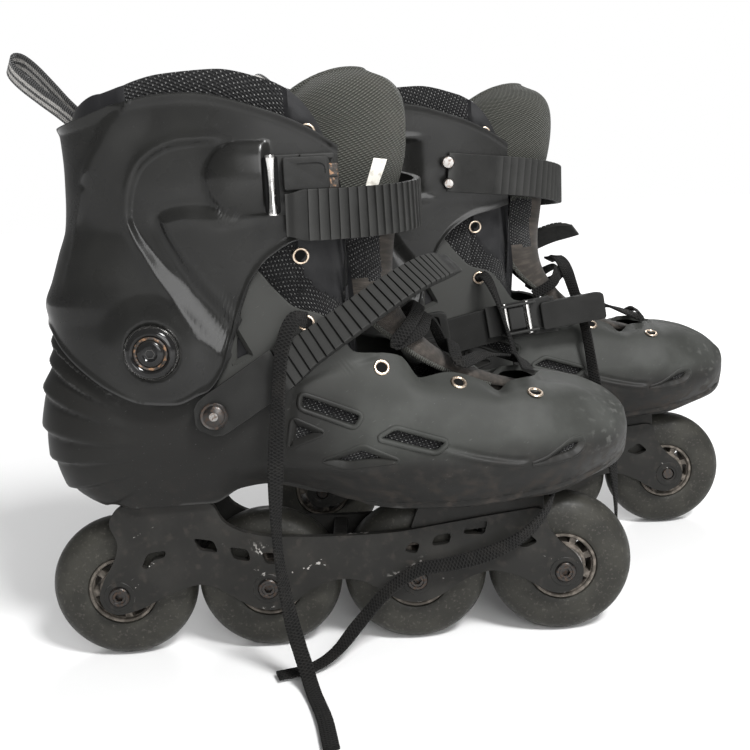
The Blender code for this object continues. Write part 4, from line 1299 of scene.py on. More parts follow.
def shell_relief(points):
    """The shell's moulded steps, ridges and grooves, in millimetres outwards."""
    x, z = points[:, 0], points[:, 2]
    side = smooth_step(np.abs(points[:, 1]), 8, 16)
    relief = heel_fan(points)
    bead_gap, _ = line_distance(points, smooth_path(HEEL_BEAD))
    relief += 1.6 * bead(bead_gap, 1.5)
    vamp_gap = inside(points, np.vstack([smooth_path(VAMP_EDGE), VAMP_FRONT]))
    relief += 1.3 * smooth_step(vamp_gap, 0, 3.0) * smooth_step(z, 116, 124) * side
    ridge_gap, share = line_distance(points, smooth_path(SIDE_RIDGE))
    ridge = 1.1 * bead(ridge_gap - 0.6, 1.3) - 0.9 * bead(ridge_gap - 3.2, 1.2)
    relief += ridge * both_ends(share, 0.06) * side
    cheek_gap, share = line_distance(points, smooth_path(CHEEK_RIDGE))
    relief += 1.1 * bead(cheek_gap, 3.0) * both_ends(share, 0.3) * side
    sole_gap, share = line_distance(points, smooth_path(SOLE_LINE))
    sole_step = 0.9 * bead(sole_gap + 1.6, 1.2) - 0.5 * bead(sole_gap - 0.4, 0.7)
    relief += sole_step * smooth_step(share, 0, 0.1) * side
    toe = smooth_step(x, 118, 140) * smooth_step(z, 92, 98) * (1 - smooth_step(z, 117, 124))
    return relief + 0.8 * toe


def shell_sheets():
    """The shell's outer face with its relief and without."""
    tip_xs = [140 + 20 * math.sin(math.radians(turn)) for turn in range(90, 0, -6)]
    side_xs = tip_xs + stations(140, -105, 1.95)
    boot = Boot(SHELL_CURVES, heel_x=-105.0, heel_reach=SHELL_HEEL_REACH, heel_rim=203.0,
                side_xs=side_xs, rows=102, heel_steps=56)
    plain = boot.sheet(wrap_toe=True)
    return pushed(plain.copy(), shell_relief), plain


def shell_mesh(sheet):
    """The shell with its wall, its vents, the ankle window and the pivots' holes."""
    shell = thickened(sheet, SHELL_THICKNESS, bevel=0.5, even=False)
    cutters = []
    for side in (-1, 1):
        for vent in list(VENTS.values()) + [ANKLE_WINDOW]:
            cutters.append(prism(rounded(vent, 2.5), side * 16, side * 70))
        cutters.append(pivot_hole(side, 20))
    return cut(shell, cutters)


def rim_round(surface, outline, profile, side, count=70):
    """A moulded rim laid round an opening; the profile's side axis points away from the opening."""
    line = spaced(outline, count, closed=True)
    points, normals = surface.along(line, side)
    ahead = points[1] - points[-1]
    if np.dot(np.cross(ahead, normals[0]), points[0] - points.mean(axis=0)) < 0:
        points, normals = points[::-1], normals[::-1]
    return sweep(points, profile, normals, closed=True)


def vent_rims(surface):
    """The raised rims of the vents, with their slopes down into the openings."""
    raised = rounded([(-1.1, -3.2), (-0.9, 0.2), (0.2, 1.0), (1.3, 0.9), (2.3, -0.8)], 0.5, 2)
    sunk = rounded([(-2.6, -3.2), (-2.4, -2.0), (0.2, 0.5), (1.1, 0.35), (1.8, -0.8)], 0.5, 2)
    parts = []
    for side in (-1, 1):
        for name, vent in VENTS.items():
            profile = raised if name in ("upper", "front") else sunk
            parts.append(rim_round(surface, rounded(vent, 2.5), profile, side))
        parts.append(rim_round(surface, rounded(ANKLE_WINDOW, 2.0), sunk - (0, 0.7), side))
    return merged(parts)


def vent_mesh(surface):
    """The netting behind the vents, just inside the wall."""
    parts = []
    for side in (-1, 1):
        for low, high in (((-27, 109), (64, 156)), ((98, 106), (133, 122))):
            xs = np.linspace(low[0], high[0], 26)
            zs = np.linspace(low[1], high[1], 16)
            table = []
            for x in xs:
                points, normals = surface.along([(x, z) for z in zs], side)
                table.append(points - normals * (SHELL_THICKNESS + 0.6))
            parts.append(thickened(grid(table), 0.5, 0))
    return merged(parts)


def eyelet(surface, x, z, side, inner, outer, lift):
    """A rolled metal ring round a lace hole."""
    point, normal = surface.at(x, z, side)
    first = unit(np.cross(normal, (0, 0, 1)))
    second = np.cross(normal, first)
    middle, half = (inner + outer) / 2, (outer - inner) / 2
    path = [point + normal * lift + middle * (math.cos(a) * first + math.sin(a) * second)
            for a in around(28)]
    section = [(half * math.cos(a), 0.75 * half * math.sin(a) + 0.1) for a in around(10)]
    return sweep(path, section, [normal] * len(path), closed=True)


def eyelet_shade_cup(surface, x, z, side, radius=2.9, lift=0.12):
    """Painted shade inside an eyelet: a shallow near-black cup that stands for the dark opening."""
    point, normal = surface.at(x, z, side)
    first = unit(np.cross(normal, (0, 0, 1)))
    second = np.cross(normal, first)
    table = []
    for a in around(20):
        out = math.cos(a) * first + math.sin(a) * second
        table.append([point + normal * lift, point + normal * lift + radius * out,
                      point + normal * (lift - 0.4) + radius * out, point + normal * (lift - 0.4)])
    return tidy(grid(table, wrap_u=True), 0.01)


def place_eyelets(name, surface, places, body, inner, outer, lift):
    """Metal rings at (x, z) places on both sides, and near-black cups of painted shade inside them."""
    # The rings are metal; the cups inside them are painted shade.
    rings, holes = [], []
    for side in (-1, 1):
        for x, z in places:
            rings.append(eyelet(surface, x, z, side, inner, outer, lift))
            holes.append(eyelet_shade_cup(surface, x, z, side))
    place(f"{name}_eyelets", merged(rings), body, [BRASS], weighted=False)
    place(f"{name}_eyelet_holes", merged(holes), body, [PAINTED_SHADE_BLACK], weighted=False)


def make_shell():
    """The shell with its rims, vent netting and eyelets."""
    sheet, plain = shell_sheets()
    surface = Surface(sheet, plain)
    body = shell_mesh(sheet)
    place("boot_shell", body, "skate", [SHELL_PLASTIC], ["shell"], crease=65,
          weighted=False)
    place("vent_rims", vent_rims(surface), "skate", [SHELL_PLASTIC], weighted=False)
    place("vent_netting", vent_mesh(surface), "skate", [SPACER_MESH], weighted=False)
    place_eyelets("shell", surface, SHELL_EYELETS, "skate", inner=2.7, outer=4.3, lift=0.2)


# ---------------------------------------------------------------- cuff
CUFF_CENTRE_X = -62.0
CUFF_FRONT_DEPTH = 110.0
CUFF_SQUARENESS = 0.8
CUFF_BACK = smooth_function([(150, -148), (191, -145), (200, -146), (213, -141), (226, -136), (239, -131),
                             (254, -129), (272, -128), (300, -129)])
CUFF_WIDTH = smooth_function([(150, 46.5), (178, 46.5), (205, 45), (235, 45.5), (260, 48), (300, 50)])
CUFF_LOW = smooth_function([(0, 193), (20, 189), (35, 179), (50, 168), (62, 159), (75, 152), (84, 151),
                            (90, 156), (93, 167), (95, 182), (97, 196), (100, 210), (105, 221), (112, 228),
                            (120, 231), (127, 234)])
CUFF_TOP = smooth_function([(0, 287), (25, 288), (50, 291), (70, 296), (90, 299), (105, 291), (118, 281),
                            (127, 272)])
RECESS_DEPTH = 2.4
ISLAND_SLOPE = 4.5
OUTER_SWEEP = [(-38, 277), (-54, 277.5), (-64, 277), (-71, 275), (-77, 272), (-83, 267), (-87, 260),
               (-90, 251), (-91, 242), (-88, 233), (-84, 225), (-79, 215), (-72, 204), (-65, 193),
               (-59, 184)]
RECESS_FRONT = [(-52, 176), (20, 176), (20, 277)]
INNER_SWEEP = [(-40, 243), (-50, 245.5), (-62, 246.5), (-71, 245.5), (-76.5, 243), (-77, 239), (-75, 233),
               (-71, 225), (-66, 216), (-60, 207), (-53, 198)]
ISLAND_FRONT = [(-44, 186), (20, 186), (20, 243)]
BACK_CREASE = [(-88, 293), (-95, 286), (-100, 279), (-105, 273), (-110, 265), (-113, 257)]
BACK_EDGE = [(-113, 257), (-116, 249), (-120, 240), (-122, 229), (-127, 216), (-133, 203)]
DOME_CENTRE = (-35.5, 258.5)
DOME_REACH = (17.0, 17.5)
DOME_HEIGHT = 5.4
LOOP_TURN = 50


def cuff_point(turn, z):
    """A point of the cuff's outer face, turn degrees round from the middle of the back."""
    back_x = CUFF_BACK(z)
    half_width = CUFF_WIDTH(z)
    depth = CUFF_CENTRE_X - back_x if turn < 90 else CUFF_FRONT_DEPTH
    along = math.cos(math.radians(turn))
    along = math.copysign(abs(along)**CUFF_SQUARENESS, along)
    across = abs(math.sin(math.radians(turn)))**CUFF_SQUARENESS
    return (CUFF_CENTRE_X - depth * along, half_width * across, z)


def cuff_relief(points):
    """The cuff's recess with its raised island, its creases, dome and boss, in millimetres outwards."""
    x, y, z = points[:, 0], points[:, 1], points[:, 2]
    recess_gap = inside(points, np.vstack([smooth_path(OUTER_SWEEP, 80), RECESS_FRONT]))
    slope = 1.7 + 5.2 * smooth_step(z, 238, 205)
    recess = RECESS_DEPTH * np.clip(recess_gap / slope, 0, 1)
    top_fade = 1 - smooth_step(x, -56, -40) * smooth_step(z, 236, 244)
    front_fade = 1 - smooth_step(x, -48, -30)
    relief = 0.4 * bead(recess_gap + 1.4, 1.6) * top_fade - recess * top_fade * front_fade
    island_gap = inside(points, np.vstack([smooth_path(INNER_SWEEP, 60), ISLAND_FRONT]))
    island = RECESS_DEPTH * smooth_step(island_gap, 0, ISLAND_SLOPE) - 0.5 * bead(island_gap + 1.4, 2.4)
    relief += island * recess / RECESS_DEPTH * front_fade
    crease_gap, share = line_distance(points, smooth_path(BACK_CREASE))
    fade = smooth_step(1 - share, 0, 0.25)
    relief += 1.3 * smooth_step(crease_gap, -5, 0.8) * (1 - smooth_step(crease_gap, 0.8, 16)) * fade
    edge_gap, share = line_distance(points, smooth_path(BACK_EDGE))
    relief += 0.5 * bead(edge_gap, 1.8) * smooth_step(1 - share, 0, 0.3)
    u = np.minimum(x - DOME_CENTRE[0], 0) / DOME_REACH[0]
    v = (z - DOME_CENTRE[1]) / DOME_REACH[1]
    dome = np.clip(1 - u**2 - v**2, 0, 1)**0.62
    relief += DOME_HEIGHT * dome * (1 - smooth_step(x, -25, -20)) * np.where(y < 0, 1.0, 0.0)
    boss = np.hypot(x - PIVOT[0], z - PIVOT[1])
    relief += 1.3 * (1 - smooth_step(boss, 17.5, 29)) - 1.0 * (1 - smooth_step(boss, 13.4, 14.4))
    return relief * smooth_step(np.abs(y), 22, 34)


def cuff_edges(points, low, top):
    """A thicker rolled lip along the cuff's upper and lower edges."""
    z = points[:, 2]
    return 1.1 * np.exp(-((top - z) / 2.4)**2) + 0.7 * np.exp(-((z - low) / 2.2)**2)


def cuff_sheet():
    """The cuff's outer face with its relief."""
    turns = np.concatenate([np.linspace(0, 66, 56, endpoint=False), np.linspace(66, 127, 114)])
    rows = np.linspace(0, 1, 118)
    half, lows, tops = [], [], []
    for turn in turns:
        low, top = float(CUFF_LOW(turn)), float(CUFF_TOP(turn))
        half.append([cuff_point(turn, low + (top - low) * t) for t in rows])
        lows.append([low] * len(rows))
        tops.append([top] * len(rows))
    half, lows, tops = np.array(half), np.array(lows), np.array(tops)
    outer = half * (1, -1, 1)
    table = np.concatenate([half[::-1], outer[1:]])
    low = np.concatenate([lows[::-1], lows[1:]]).ravel()
    top = np.concatenate([tops[::-1], tops[1:]]).ravel()
    sheet = facing_out(grid(table), (CUFF_CENTRE_X, 0, 230))
    return pushed(sheet, lambda points: cuff_relief(points) + cuff_edges(points, low, top))


def cuff_mesh(sheet):
    """The cuff with its wall and pivot holes."""
    cuff = thickened(sheet, CUFF_THICKNESS, bevel=1.0)
    return cut(cuff, [pivot_hole(side, 30) for side in (-1, 1)])


def pivot_cap(side):
    """The pivot's cap: a bright rim, a glossy dished body, a tarnished ring and a small socket."""
    base = side * 46.9

    def ring(profile, slot_number, sides=64):
        return slotted(turned([(r, base + side * y) for r, y in profile], sides, PIVOT), slot_number)

    body = ring([(0, 0.4), (12.8, 0.4), (12.8, 2.2), (12.2, 3.4), (11.0, 4.2), (9.9, 4.5), (8.8, 4.0),
                 (8.2, 3.2), (0, 3.2)], 0)
    bright = ring([(12.8, 0.3), (13.4, 0.3), (13.4, 1.6), (13.1, 2.0), (12.8, 1.8)], 1)
    rusty = ring([(6.7, 3.1), (8.4, 3.1), (8.3, 4.0), (7.7, 4.5), (7.0, 4.1)], 2)
    hub = ring([(0, 3.1), (6.8, 3.1), (6.7, 3.9), (6.1, 4.6), (5.1, 5.0), (3.8, 5.1), (3.2, 4.6), (2.8, 4.4),
                (0, 4.4)], 0)
    nut = ring([(1.9, 4.3), (2.7, 4.3), (2.6, 4.8), (2.0, 4.8)], 0, 6)
    shank = ring([(0, 0.5), (3.9, 0.5), (3.9, -12.0), (0, -12.0)], 1, 24)
    return merged([body, bright, rusty, hub, nut, shank])


def make_cuff():
    """The cuff, its pivots and the webbing loop at its back."""
    place("ankle_cuff", cuff_mesh(cuff_sheet()), "cuff", [CUFF_PLASTIC], ["cuff"],
          crease=65, weighted=False)
    for name, side in (("outer", -1), ("inner", 1)):
        place(f"pivot_cap_{name}", pivot_cap(side), "skate", [GLOSS_BLACK, CHROME, RUSTY_RING],
              [f"cuff_pivot_{name}"])
    place("heel_pull_loop", pull_loop_mesh(), "cuff", [WEBBING], ["pull_loop"], weighted=False)


def pull_loop_mesh():
    """A folded loop of webbing at the back of the collar, turned about its own length."""
    out = np.array([-0.7, 0, 0.71])
    turn = math.radians(LOOP_TURN)
    level, upright = np.array([0, 1.0, 0]), np.array([0.71, 0, 0.7])
    apart = math.cos(turn) * level + math.sin(turn) * upright
    across = math.cos(turn) * upright - math.sin(turn) * level
    root = np.array([-127.0, 0, 298])
    half = [(-12, 2.0), (0, 2.2), (12, 3.6), (24, 4.6), (32, 3.6)]
    steps = [(along, -gap) for along, gap in half] + [(35, 0)] + half[::-1]
    path = smooth_path([root + out * along + apart * gap for along, gap in steps], 60)
    ahead = unit(np.gradient(path, axis=0))
    section = rounded([(-6.5, -0.7), (6.5, -0.7), (6.5, 0.7), (-6.5, 0.7)], 0.5, 2)
    return sweep(path, section, np.cross(across, ahead))


# ---------------------------------------------------------------- liner
LINER_THICKNESS = 4.0
LINER_RIM = [(-100, 302), (-70, 309), (-45, 310), (-20, 304), (-12, 300), (-5, 294), (0, 287), (4, 279),
             (8, 266)]
LINER_CURVES = {
    "middle": [(-100, 0), (0, -1), (60, -1), (110, 2), (145, 4)],
    "sole": [(-100, 18), (-60, 17), (20, 22), (70, 27), (110, 24), (135, 12), (150, 2)],
    "sole_z": [(-100, 97), (-66, 98), (-45, 106), (-10, 102), (45, 93), (110, 95), (140, 101), (150, 112)],
    "wide": [(-100, 31), (-20, 35), (20, 39), (60, 43), (95, 42), (120, 35), (140, 20), (150, 3)],
    "wide_z": [(-100, 128), (-40, 122), (10, 112), (80, 110), (150, 115)],
    "shoulder": [(-100, 29.5), (-40, 33), (0, 29), (8, 26.5), (14, 26.5), (27, 30), (66, 31), (106, 27),
                 (125, 20), (140, 11), (150, 2.5)],
    "shoulder_z": [(-100, 200), (-40, 205), (8, 205), (15, 145), (27, 141), (66, 132), (106, 129),
                   (130, 127), (150, 118)],
    "rim": [(-100, 34), (-60, 41), (-20, 40), (8, 34), (15, 22), (27, 21), (66, 18), (96, 12), (104, 0),
            (150, 0)],
    "rim_z": LINER_RIM + [(15, 160), (27, 154), (66, 141), (104, 134), (130, 132), (150, 120)],
}
LINER_HEEL_REACH = [(95, 10), (110, 38), (130, 42), (160, 38), (190, 28), (210, 23), (240, 22), (270, 21),
                    (295, 20), (306, 18)]
NETTING_XS = (-88.0, -13.0)
FLAP_EDGE = [(-13, 330), (-13, 236), (-10, 214), (-2, 203), (8, 196), (16, 190)]
LINER_EYELETS = [(-3, 279), (-10, 220)]


def liner_relief(points):
    """Padding between the liner's seams, and the dished places round its eyelets."""
    x, z = points[:, 0], points[:, 2]
    rim_z = np.interp(x, [p[0] for p in LINER_RIM], [p[1] for p in LINER_RIM])
    collar = smooth_step(z, 268, 290) * (1 - 0.6 * smooth_step(z - rim_z, -7, 0))
    seams = np.exp(-((x - NETTING_XS[0]) / 1.3)**2) + np.exp(-((x - NETTING_XS[1]) / 1.0)**2)
    relief = 1.5 * collar - 1.1 * seams * smooth_step(z, 190, 200)
    for place_x, place_z in LINER_EYELETS:
        reach = np.hypot(x - place_x, z - place_z)
        relief += 1.3 * np.exp(-(reach / 11)**2) - 1.5 * np.exp(-(reach / 4.5)**2)
    gap, _ = line_distance(points, smooth_path(FLAP_EDGE))
    relief += 0.9 * smooth_step(gap, -0.4, 1.0) * smooth_step(z, 186, 196)
    ripples = 0.35 * np.sin(z / 7.0 + 0.05 * x) * np.sin(x / 9.0)
    return relief + ripples * smooth_step(z, 240, 260)


def liner_sheet():
    """The liner's outer face."""
    side_xs = stations(150, -100, 1.9, NETTING_XS)
    boot = Boot(LINER_CURVES, heel_x=-100.0, heel_reach=LINER_HEEL_REACH, heel_rim=289.0,
                side_xs=side_xs, rows=90, heel_steps=36)
    return pushed(boot.sheet(), liner_relief)


def liner_materials(mesh):
    """Netting on the collar and low beside the flap, smooth lining elsewhere."""
    centres = face_centres(mesh)
    gap, _ = line_distance(centres, smooth_path(FLAP_EDGE))
    netting = (centres[:, 0] > NETTING_XS[0]) & (gap < 0) & (centres[:, 2] > 180)
    for material in (LINING, SPACER_MESH):
        mesh.materials.append(material)
    return slotted(mesh, np.where(netting, 1, 0))


def across_cuff_joint(piece):
    """Bake a soft piece's place into its mesh."""
    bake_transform(piece)


def make_liner():
    """The padded inner boot with its eyelets."""
    sheet = liner_materials(liner_sheet())
    surface = Surface(sheet)
    body = thickened(sheet, LINER_THICKNESS, bevel=1.3, even=False)
    made = place("padded_liner", body, None, [LINING, SPACER_MESH], ["liner"],
                 weighted=False)
    for side, piece in made.items():
        across_cuff_joint(piece)
    place_eyelets("liner", surface, LINER_EYELETS, "cuff", inner=2.9, outer=4.4, lift=0.3)


# ---------------------------------------------------------------- tongue
TONGUE_LINE = [(101, 143), (84, 148), (64, 158), (47, 173), (37, 192), (35, 212), (38, 235), (42, 258),
               (45, 282), (44, 298), (38, 308), (27, 314)]
CURL_START = 0.84
CROWN_START = 0.88
CROWN_NARROWING = 0.35
TONGUE_HALF_WIDTH = smooth_function([(0, 7), (0.1, 11), (0.2, 15), (0.3, 19), (0.42, 20.5), (0.55, 21.5),
                                     (0.7, 24), (1, 26)])
TONGUE_DEPTH = smooth_function([(0, 2), (0.15, 4), (0.3, 9), (0.42, 22), (0.55, 36), (0.7, 48), (0.9, 54),
                                (1, 48)])
TONGUE_THICKNESS = 6.0
TONGUE_SWING = 88
PIPING_DEPTH = 0.8
LOW_TONGUE_Z = 236.0


def tongue_rows(lift, swings, count=110):
    """Rows of points across the tongue, lift(t, swing) millimetres out of its front face."""
    path = smooth_path([(x, 0, z) for x, z in TONGUE_LINE], count)
    ahead = unit(np.gradient(path, axis=0))
    inwards = -np.cross((0, 1, 0), ahead)
    curled = int(CURL_START * count)
    inwards[curled:] = inwards[curled]
    shares = np.linspace(0, 1, count)
    table = []
    for t, p, inner in zip(shares, path, inwards):
        row = []
        for swing in swings:
            angle = math.radians(swing)
            up = max(t - CROWN_START, 0) / (1 - CROWN_START)
            crown = math.sqrt(1 - CROWN_NARROWING * up**2)
            depth, half = float(TONGUE_DEPTH(t)) * crown, float(TONGUE_HALF_WIDTH(t)) * crown
            point = p + inner * (depth * (1 - math.cos(angle)))
            across = math.copysign(abs(math.sin(angle))**0.8, angle)
            drop = 5 * math.cos(angle) + 15 * (1 - math.cos(angle))**2
            point = point + np.array([0, -half * across, -drop * smooth_step(t, 0.8, 1.0)])
            face = -inner * half * math.cos(angle) + np.array([0, -1, 0]) * depth * math.sin(angle)
            row.append(point + unit(face) * lift(t, swing))
        table.append(row)
    return np.array(table)


def tongue_puff(t, swing):
    """How far the tongue's padding stands out: less at its edges and under the straps."""
    edge = 1 - smooth_step(abs(swing), 62, 88)
    strap = math.exp(-((t - 0.655) / 0.05)**2) + 0.6 * math.exp(-((t - 0.36) / 0.05)**2)
    fold = 1.3 * math.exp(-((swing - 14 - 60 * (t - 0.8)) / 5)**2) * smooth_step(t, 0.62, 0.75)
    crease = 0.5 * math.sin(26 * t + swing / 22) * smooth_step(t, 0.2, 0.4)
    return (1.5 * (1 - 0.9 * strap) + crease * 0.6) * edge + fold * edge - 0.4


def tongue_mesh():
    """The tongue: a padded slab with rounded edges, cloth above and netting and backing below."""
    swings = np.linspace(-TONGUE_SWING, TONGUE_SWING, 57)

    def padding(t, swing):
        return -TONGUE_THICKNESS * (0.35 + 0.65 * math.cos(math.radians(swing))**0.5)
    front = tongue_rows(tongue_puff, swings)
    back = tongue_rows(padding, swings)
    mesh = tidy(grid(np.concatenate([front, back[:, ::-1]], axis=1), wrap_v=True, cap=True))
    centres = face_centres(mesh)
    low = centres[:, 2] < LOW_TONGUE_Z
    netting = (np.abs(centres[:, 1]) > 15.5) & (centres[:, 2] > 205)
    return slotted(mesh, np.where(low, np.where(netting, 1, 2), 0))


def tongue_piping():
    """The rolled seam round the tongue's edge."""
    rows = tongue_rows(lambda t, swing: -PIPING_DEPTH, np.linspace(-TONGUE_SWING, TONGUE_SWING, 40))
    line = np.concatenate([rows[8:, 0], rows[-1, 1:-1], rows[:7:-1, -1]])
    return sweep(spaced(line, 240), circle(1.5, 10), (0.9, 0.05, 0.3))


def tongue_label():
    """A small blank woven label sewn to the tongue's outer side."""
    rows = tongue_rows(lambda t, swing: float(tongue_puff(t, swing)) + 0.35, np.linspace(38, 49, 8))
    z = rows[:, 0, 2]
    chosen = rows[(z > 247) & (z < 265)]
    chosen[:, :, 0] += np.linspace(-2.0, 2.0, len(chosen))[:, None]
    return thickened(grid(chosen), 0.4, 0)


def make_tongue():
    """The tongue with its piping and label."""
    pieces = [("padded_tongue", tongue_mesh(), [TONGUE_CLOTH, SPACER_MESH, TONGUE_BACKING], ["tongue"]),
              ("tongue_piping", tongue_piping(), [TONGUE_CLOTH], []),
              ("tongue_label", tongue_label(), [LABEL], [])]
    for name, mesh, materials, nodes in pieces:
        made = place(name, mesh, None, materials, nodes, weighted=False)
        for side, piece in made.items():
            across_cuff_joint(piece)


# ---------------------------------------------------------------- straps
STRAP_WIDTH = 24.0
STRAP_THICKNESS = 3.5
STRAP_TIP = 6.0


def path_length(path):
    """The length of a line of points."""
    return float(np.linalg.norm(np.diff(path, axis=0), axis=1).sum())


def strap_section(half_width, low, high, corner=0.7):
    """A strap's section with round corners."""
    corners = [(-half_width, low), (half_width, low), (half_width, high), (-half_width, high)]
    return rounded(corners, corner, 2)


def ladder(path, start, pitch_at, tooth, half_width_at):
    """Lengths along a strap and its section there, with teeth from start to just before the tip.

    tooth is a list of (share of the pitch, height added) for one tooth."""
    total = path_length(path)
    lengths = list(np.linspace(0, start, max(4, int(start / 4)), endpoint=False))
    heights = [0.0] * len(lengths)
    at = start
    while at + pitch_at(at / total) < total - STRAP_TIP:
        pitch = pitch_at(at / total)
        lengths += [at + share * pitch for share, _ in tooth]
        heights += [height for _, height in tooth]
        at += pitch
    rest = np.linspace(at, total, 8)
    lengths += list(rest)
    heights += list(-1.4 * smooth_step(rest, total - 5, total))
    sections = []
    for length, height in zip(lengths, heights):
        half = half_width_at(length / total)
        sections.append(strap_section(half, -STRAP_THICKNESS / 2, STRAP_THICKNESS / 2 - 0.7 + height))
    return np.array(lengths), np.array(sections)


def strap_from(path, across, lengths, sections):
    """Sweep a strap whose width lies along across, its teeth on the outer side."""
    points = read_at(lengths, lengths_along(path), path)
    ahead = unit(np.gradient(points, axis=0))
    if across.ndim == 2:
        across = read_at(lengths, np.linspace(0, path_length(path), len(across)), across)
    return sweep(points, sections, np.cross(across, ahead))


CUFF_STRAP_LINE = [(-28, 52.5, 256), (-5, 49, 253.5), (20, 43, 250.5), (40, 28, 247), (50.5, 4, 243.5),
                   (46, -22, 241.5), (27, -44, 240.5), (5, -55, 240.5), (-14, -58.9, 241)]
INSTEP_STRAP_LINE = [(-66, -46, 139), (-36, -47.5, 158), (-12, -46.5, 173), (12, -44, 188), (34, -38, 201),
                     (52, -30, 209), (67, -21, 212)]
INSTEP_TWIST = smooth_function([(0, 0), (0.25, 2), (0.45, 36), (1, 50)])
INSTEP_WIDTH = smooth_function([(0, 15), (0.06, 22), (0.3, 22), (0.45, 19), (0.9, 19), (1, 14)])
STEP_TOOTH = [(0.0, 0.1), (0.12, 0.25), (0.80, 0.95), (0.93, 0.95), (0.97, 0.1)]
GROOVE_TOOTH = [(0.0, 0.7), (0.36, 0.75), (0.80, 0.75), (0.86, -0.35), (0.94, -0.35)]


def cuff_strap_mesh():
    """The cuff's ladder strap, wrapped round the front of the tongue."""
    path = smooth_path(CUFF_STRAP_LINE, 400)

    def half_width(t):
        return STRAP_WIDTH / 2 * (1 - 0.18 * smooth_step(t, 0.95, 1.0))
    lengths, sections = ladder(path, 30, lambda t: 4.9, STEP_TOOTH, half_width)
    return strap_from(path, np.array([0.0, 0.0, 1.0]), lengths, sections)


def cuff_strap_pin():
    """The two screws that hold the cuff strap to the inner side of the cuff."""
    upper = turned([(0, 50.0), (4.0, 50.0), (4.0, 55.2), (3.3, 56.2), (0, 56.4)], 40, (-28, 262))
    lower = turned([(0, 50.0), (3.2, 50.0), (3.2, 55.2), (2.6, 56.0), (0, 56.1)], 40, (-28, 249))
    return merged([upper, lower])


def instep_strap_mesh():
    """The instep's ladder strap, its free end up in the air."""
    path = smooth_path(INSTEP_STRAP_LINE, 400)
    shares = np.linspace(0, 1, 60)
    tilt = np.radians(INSTEP_TWIST(shares))[:, None]
    across = np.array([0.5, 0, -0.87]) * np.cos(tilt) - np.array([0, 1.0, 0]) * np.sin(tilt)
    total = path_length(path)

    def half_width(t):
        from_end = min(t * total, 10.9)
        return min(float(INSTEP_WIDTH(t)) / 2, math.sqrt(max(11.0**2 - (11.0 - from_end)**2, 4.0)))

    def pitch(t):
        return 5.2 - 2.4 * smooth_step(t, 0.55, 0.95)
    lengths, sections = ladder(path, 48, pitch, GROOVE_TOOTH, half_width)
    strap = strap_from(path, across, lengths, sections)
    hole = turned([(0, -62), (7.1, -62), (7.1, -49.4), (2.9, -49.4), (2.9, -30), (0, -30)], 32, STRAP_SCREW)
    return cut(strap, [hole])


def screw_mesh():
    """A dark washer and a dark domed head whose middle is worn bright round its star socket."""
    washer = turned([(2.0, -49.5), (6.9, -49.5), (6.9, -50.1), (6.5, -50.5), (5.6, -50.2), (2.0, -50.2)], 40,
                    STRAP_SCREW)
    head = turned([(2.2, -49.8), (5.4, -49.8), (5.3, -50.6), (4.4, -51.4), (2.2, -51.8)], 40, STRAP_SCREW)
    centre = cylinder(2.3, -49.8, -51.5, 32, STRAP_SCREW)
    star = np.array(circle(1.9, 12, STRAP_SCREW))
    star[1::2] = circle(1.1, 12, STRAP_SCREW)[1::2]
    centre = cut(centre, [prism(star, -54, -50.6)])
    shank = cylinder(2.5, -50, -35.5, 20, STRAP_SCREW)
    return merged([slotted(washer, 1), slotted(head, 1), slotted(centre, 0), slotted(shank, 0)])


# ---------------------------------------------------------------- buckles
def about(mesh, pivot, degrees, axis):
    """Turn a mesh about an axis through pivot."""
    centre = Vector(pivot)
    turn = Matrix.Rotation(math.radians(degrees), 4, axis)
    mesh.transform(Matrix.Translation(centre) @ turn @ Matrix.Translation(-centre))
    return mesh


CUFF_BUCKLE_CORNER = (-21, -48.5, 0)
CUFF_BUCKLE_LEAN = 11


def cuff_buckle_base_mesh():
    """The cuff ratchet's base: a channel with its chromed spool pin and a tarnished spring tab."""
    floor = slotted(block((-20.5, -50.5, 241), (9, -48.5, 269), 0.7), 0)
    walls = [slotted(block((-7, -54, z), (9, -49.5, z + 2.5), 0.6), 0) for z in (241.5, 266.2)]
    # A near-black block of painted shade in the slot behind the spool pin.
    slot = slotted(block((-24.5, -54.2, 242), (-17.5, -49.5, 268.5), 1.2), 3)
    waist = [(2.3, 241.2), (2.5, 242.0), (2.3, 243.4), (1.75, 248), (1.55, 255), (1.75, 262), (2.3, 266.8),
             (2.5, 268.2), (2.3, 269.0)]
    pin = slotted(upright_bar(-21.2, -55.0, waist, 28), 1)
    tab = slotted(block((4.5, -53.6, 252), (11.0, -50.2, 264), 0.8), 2)
    rib = slotted(block((5.2, -54.2, 257.6), (10.4, -53.2, 258.6), 0.3), 0)
    mesh = merged([floor, *walls, slot, pin, tab, rib])
    return about(mesh, CUFF_BUCKLE_CORNER, CUFF_BUCKLE_LEAN, "Z")


def cuff_buckle_lever_mesh():
    """The ratchet's finger lever, with a finger groove moulded in its face."""
    outline = rounded([(-15.5, 252.2), (6.3, 252.2), (6.3, 266.0), (4.8, 267.6), (-15.5, 267.6)], 1.6, 4)
    body = bevelled(prism(outline, -56.2, -51.4), 0.7, 3, 50)
    loop = [(-9.0, 264.0), (-3.0, 264.2), (1.6, 264.0), (3.6, 262.6), (4.0, 259.5)]
    line = smooth_path([(x, -56.2, z) for x, z in loop], 40)
    groove = sweep(line, [(-0.45, -0.6), (0.45, -0.6), (0.45, 0.5), (-0.45, 0.5)], (0, -1, 0))
    body = cut(body, [groove])
    return about(body, CUFF_BUCKLE_CORNER, CUFF_BUCKLE_LEAN, "Z")


INSTEP_BASE_LINE = [(-63, 43.5, 141), (-36, 45, 149), (-12, 46.5, 155), (14, 49, 160), (38, 50.5, 163)]


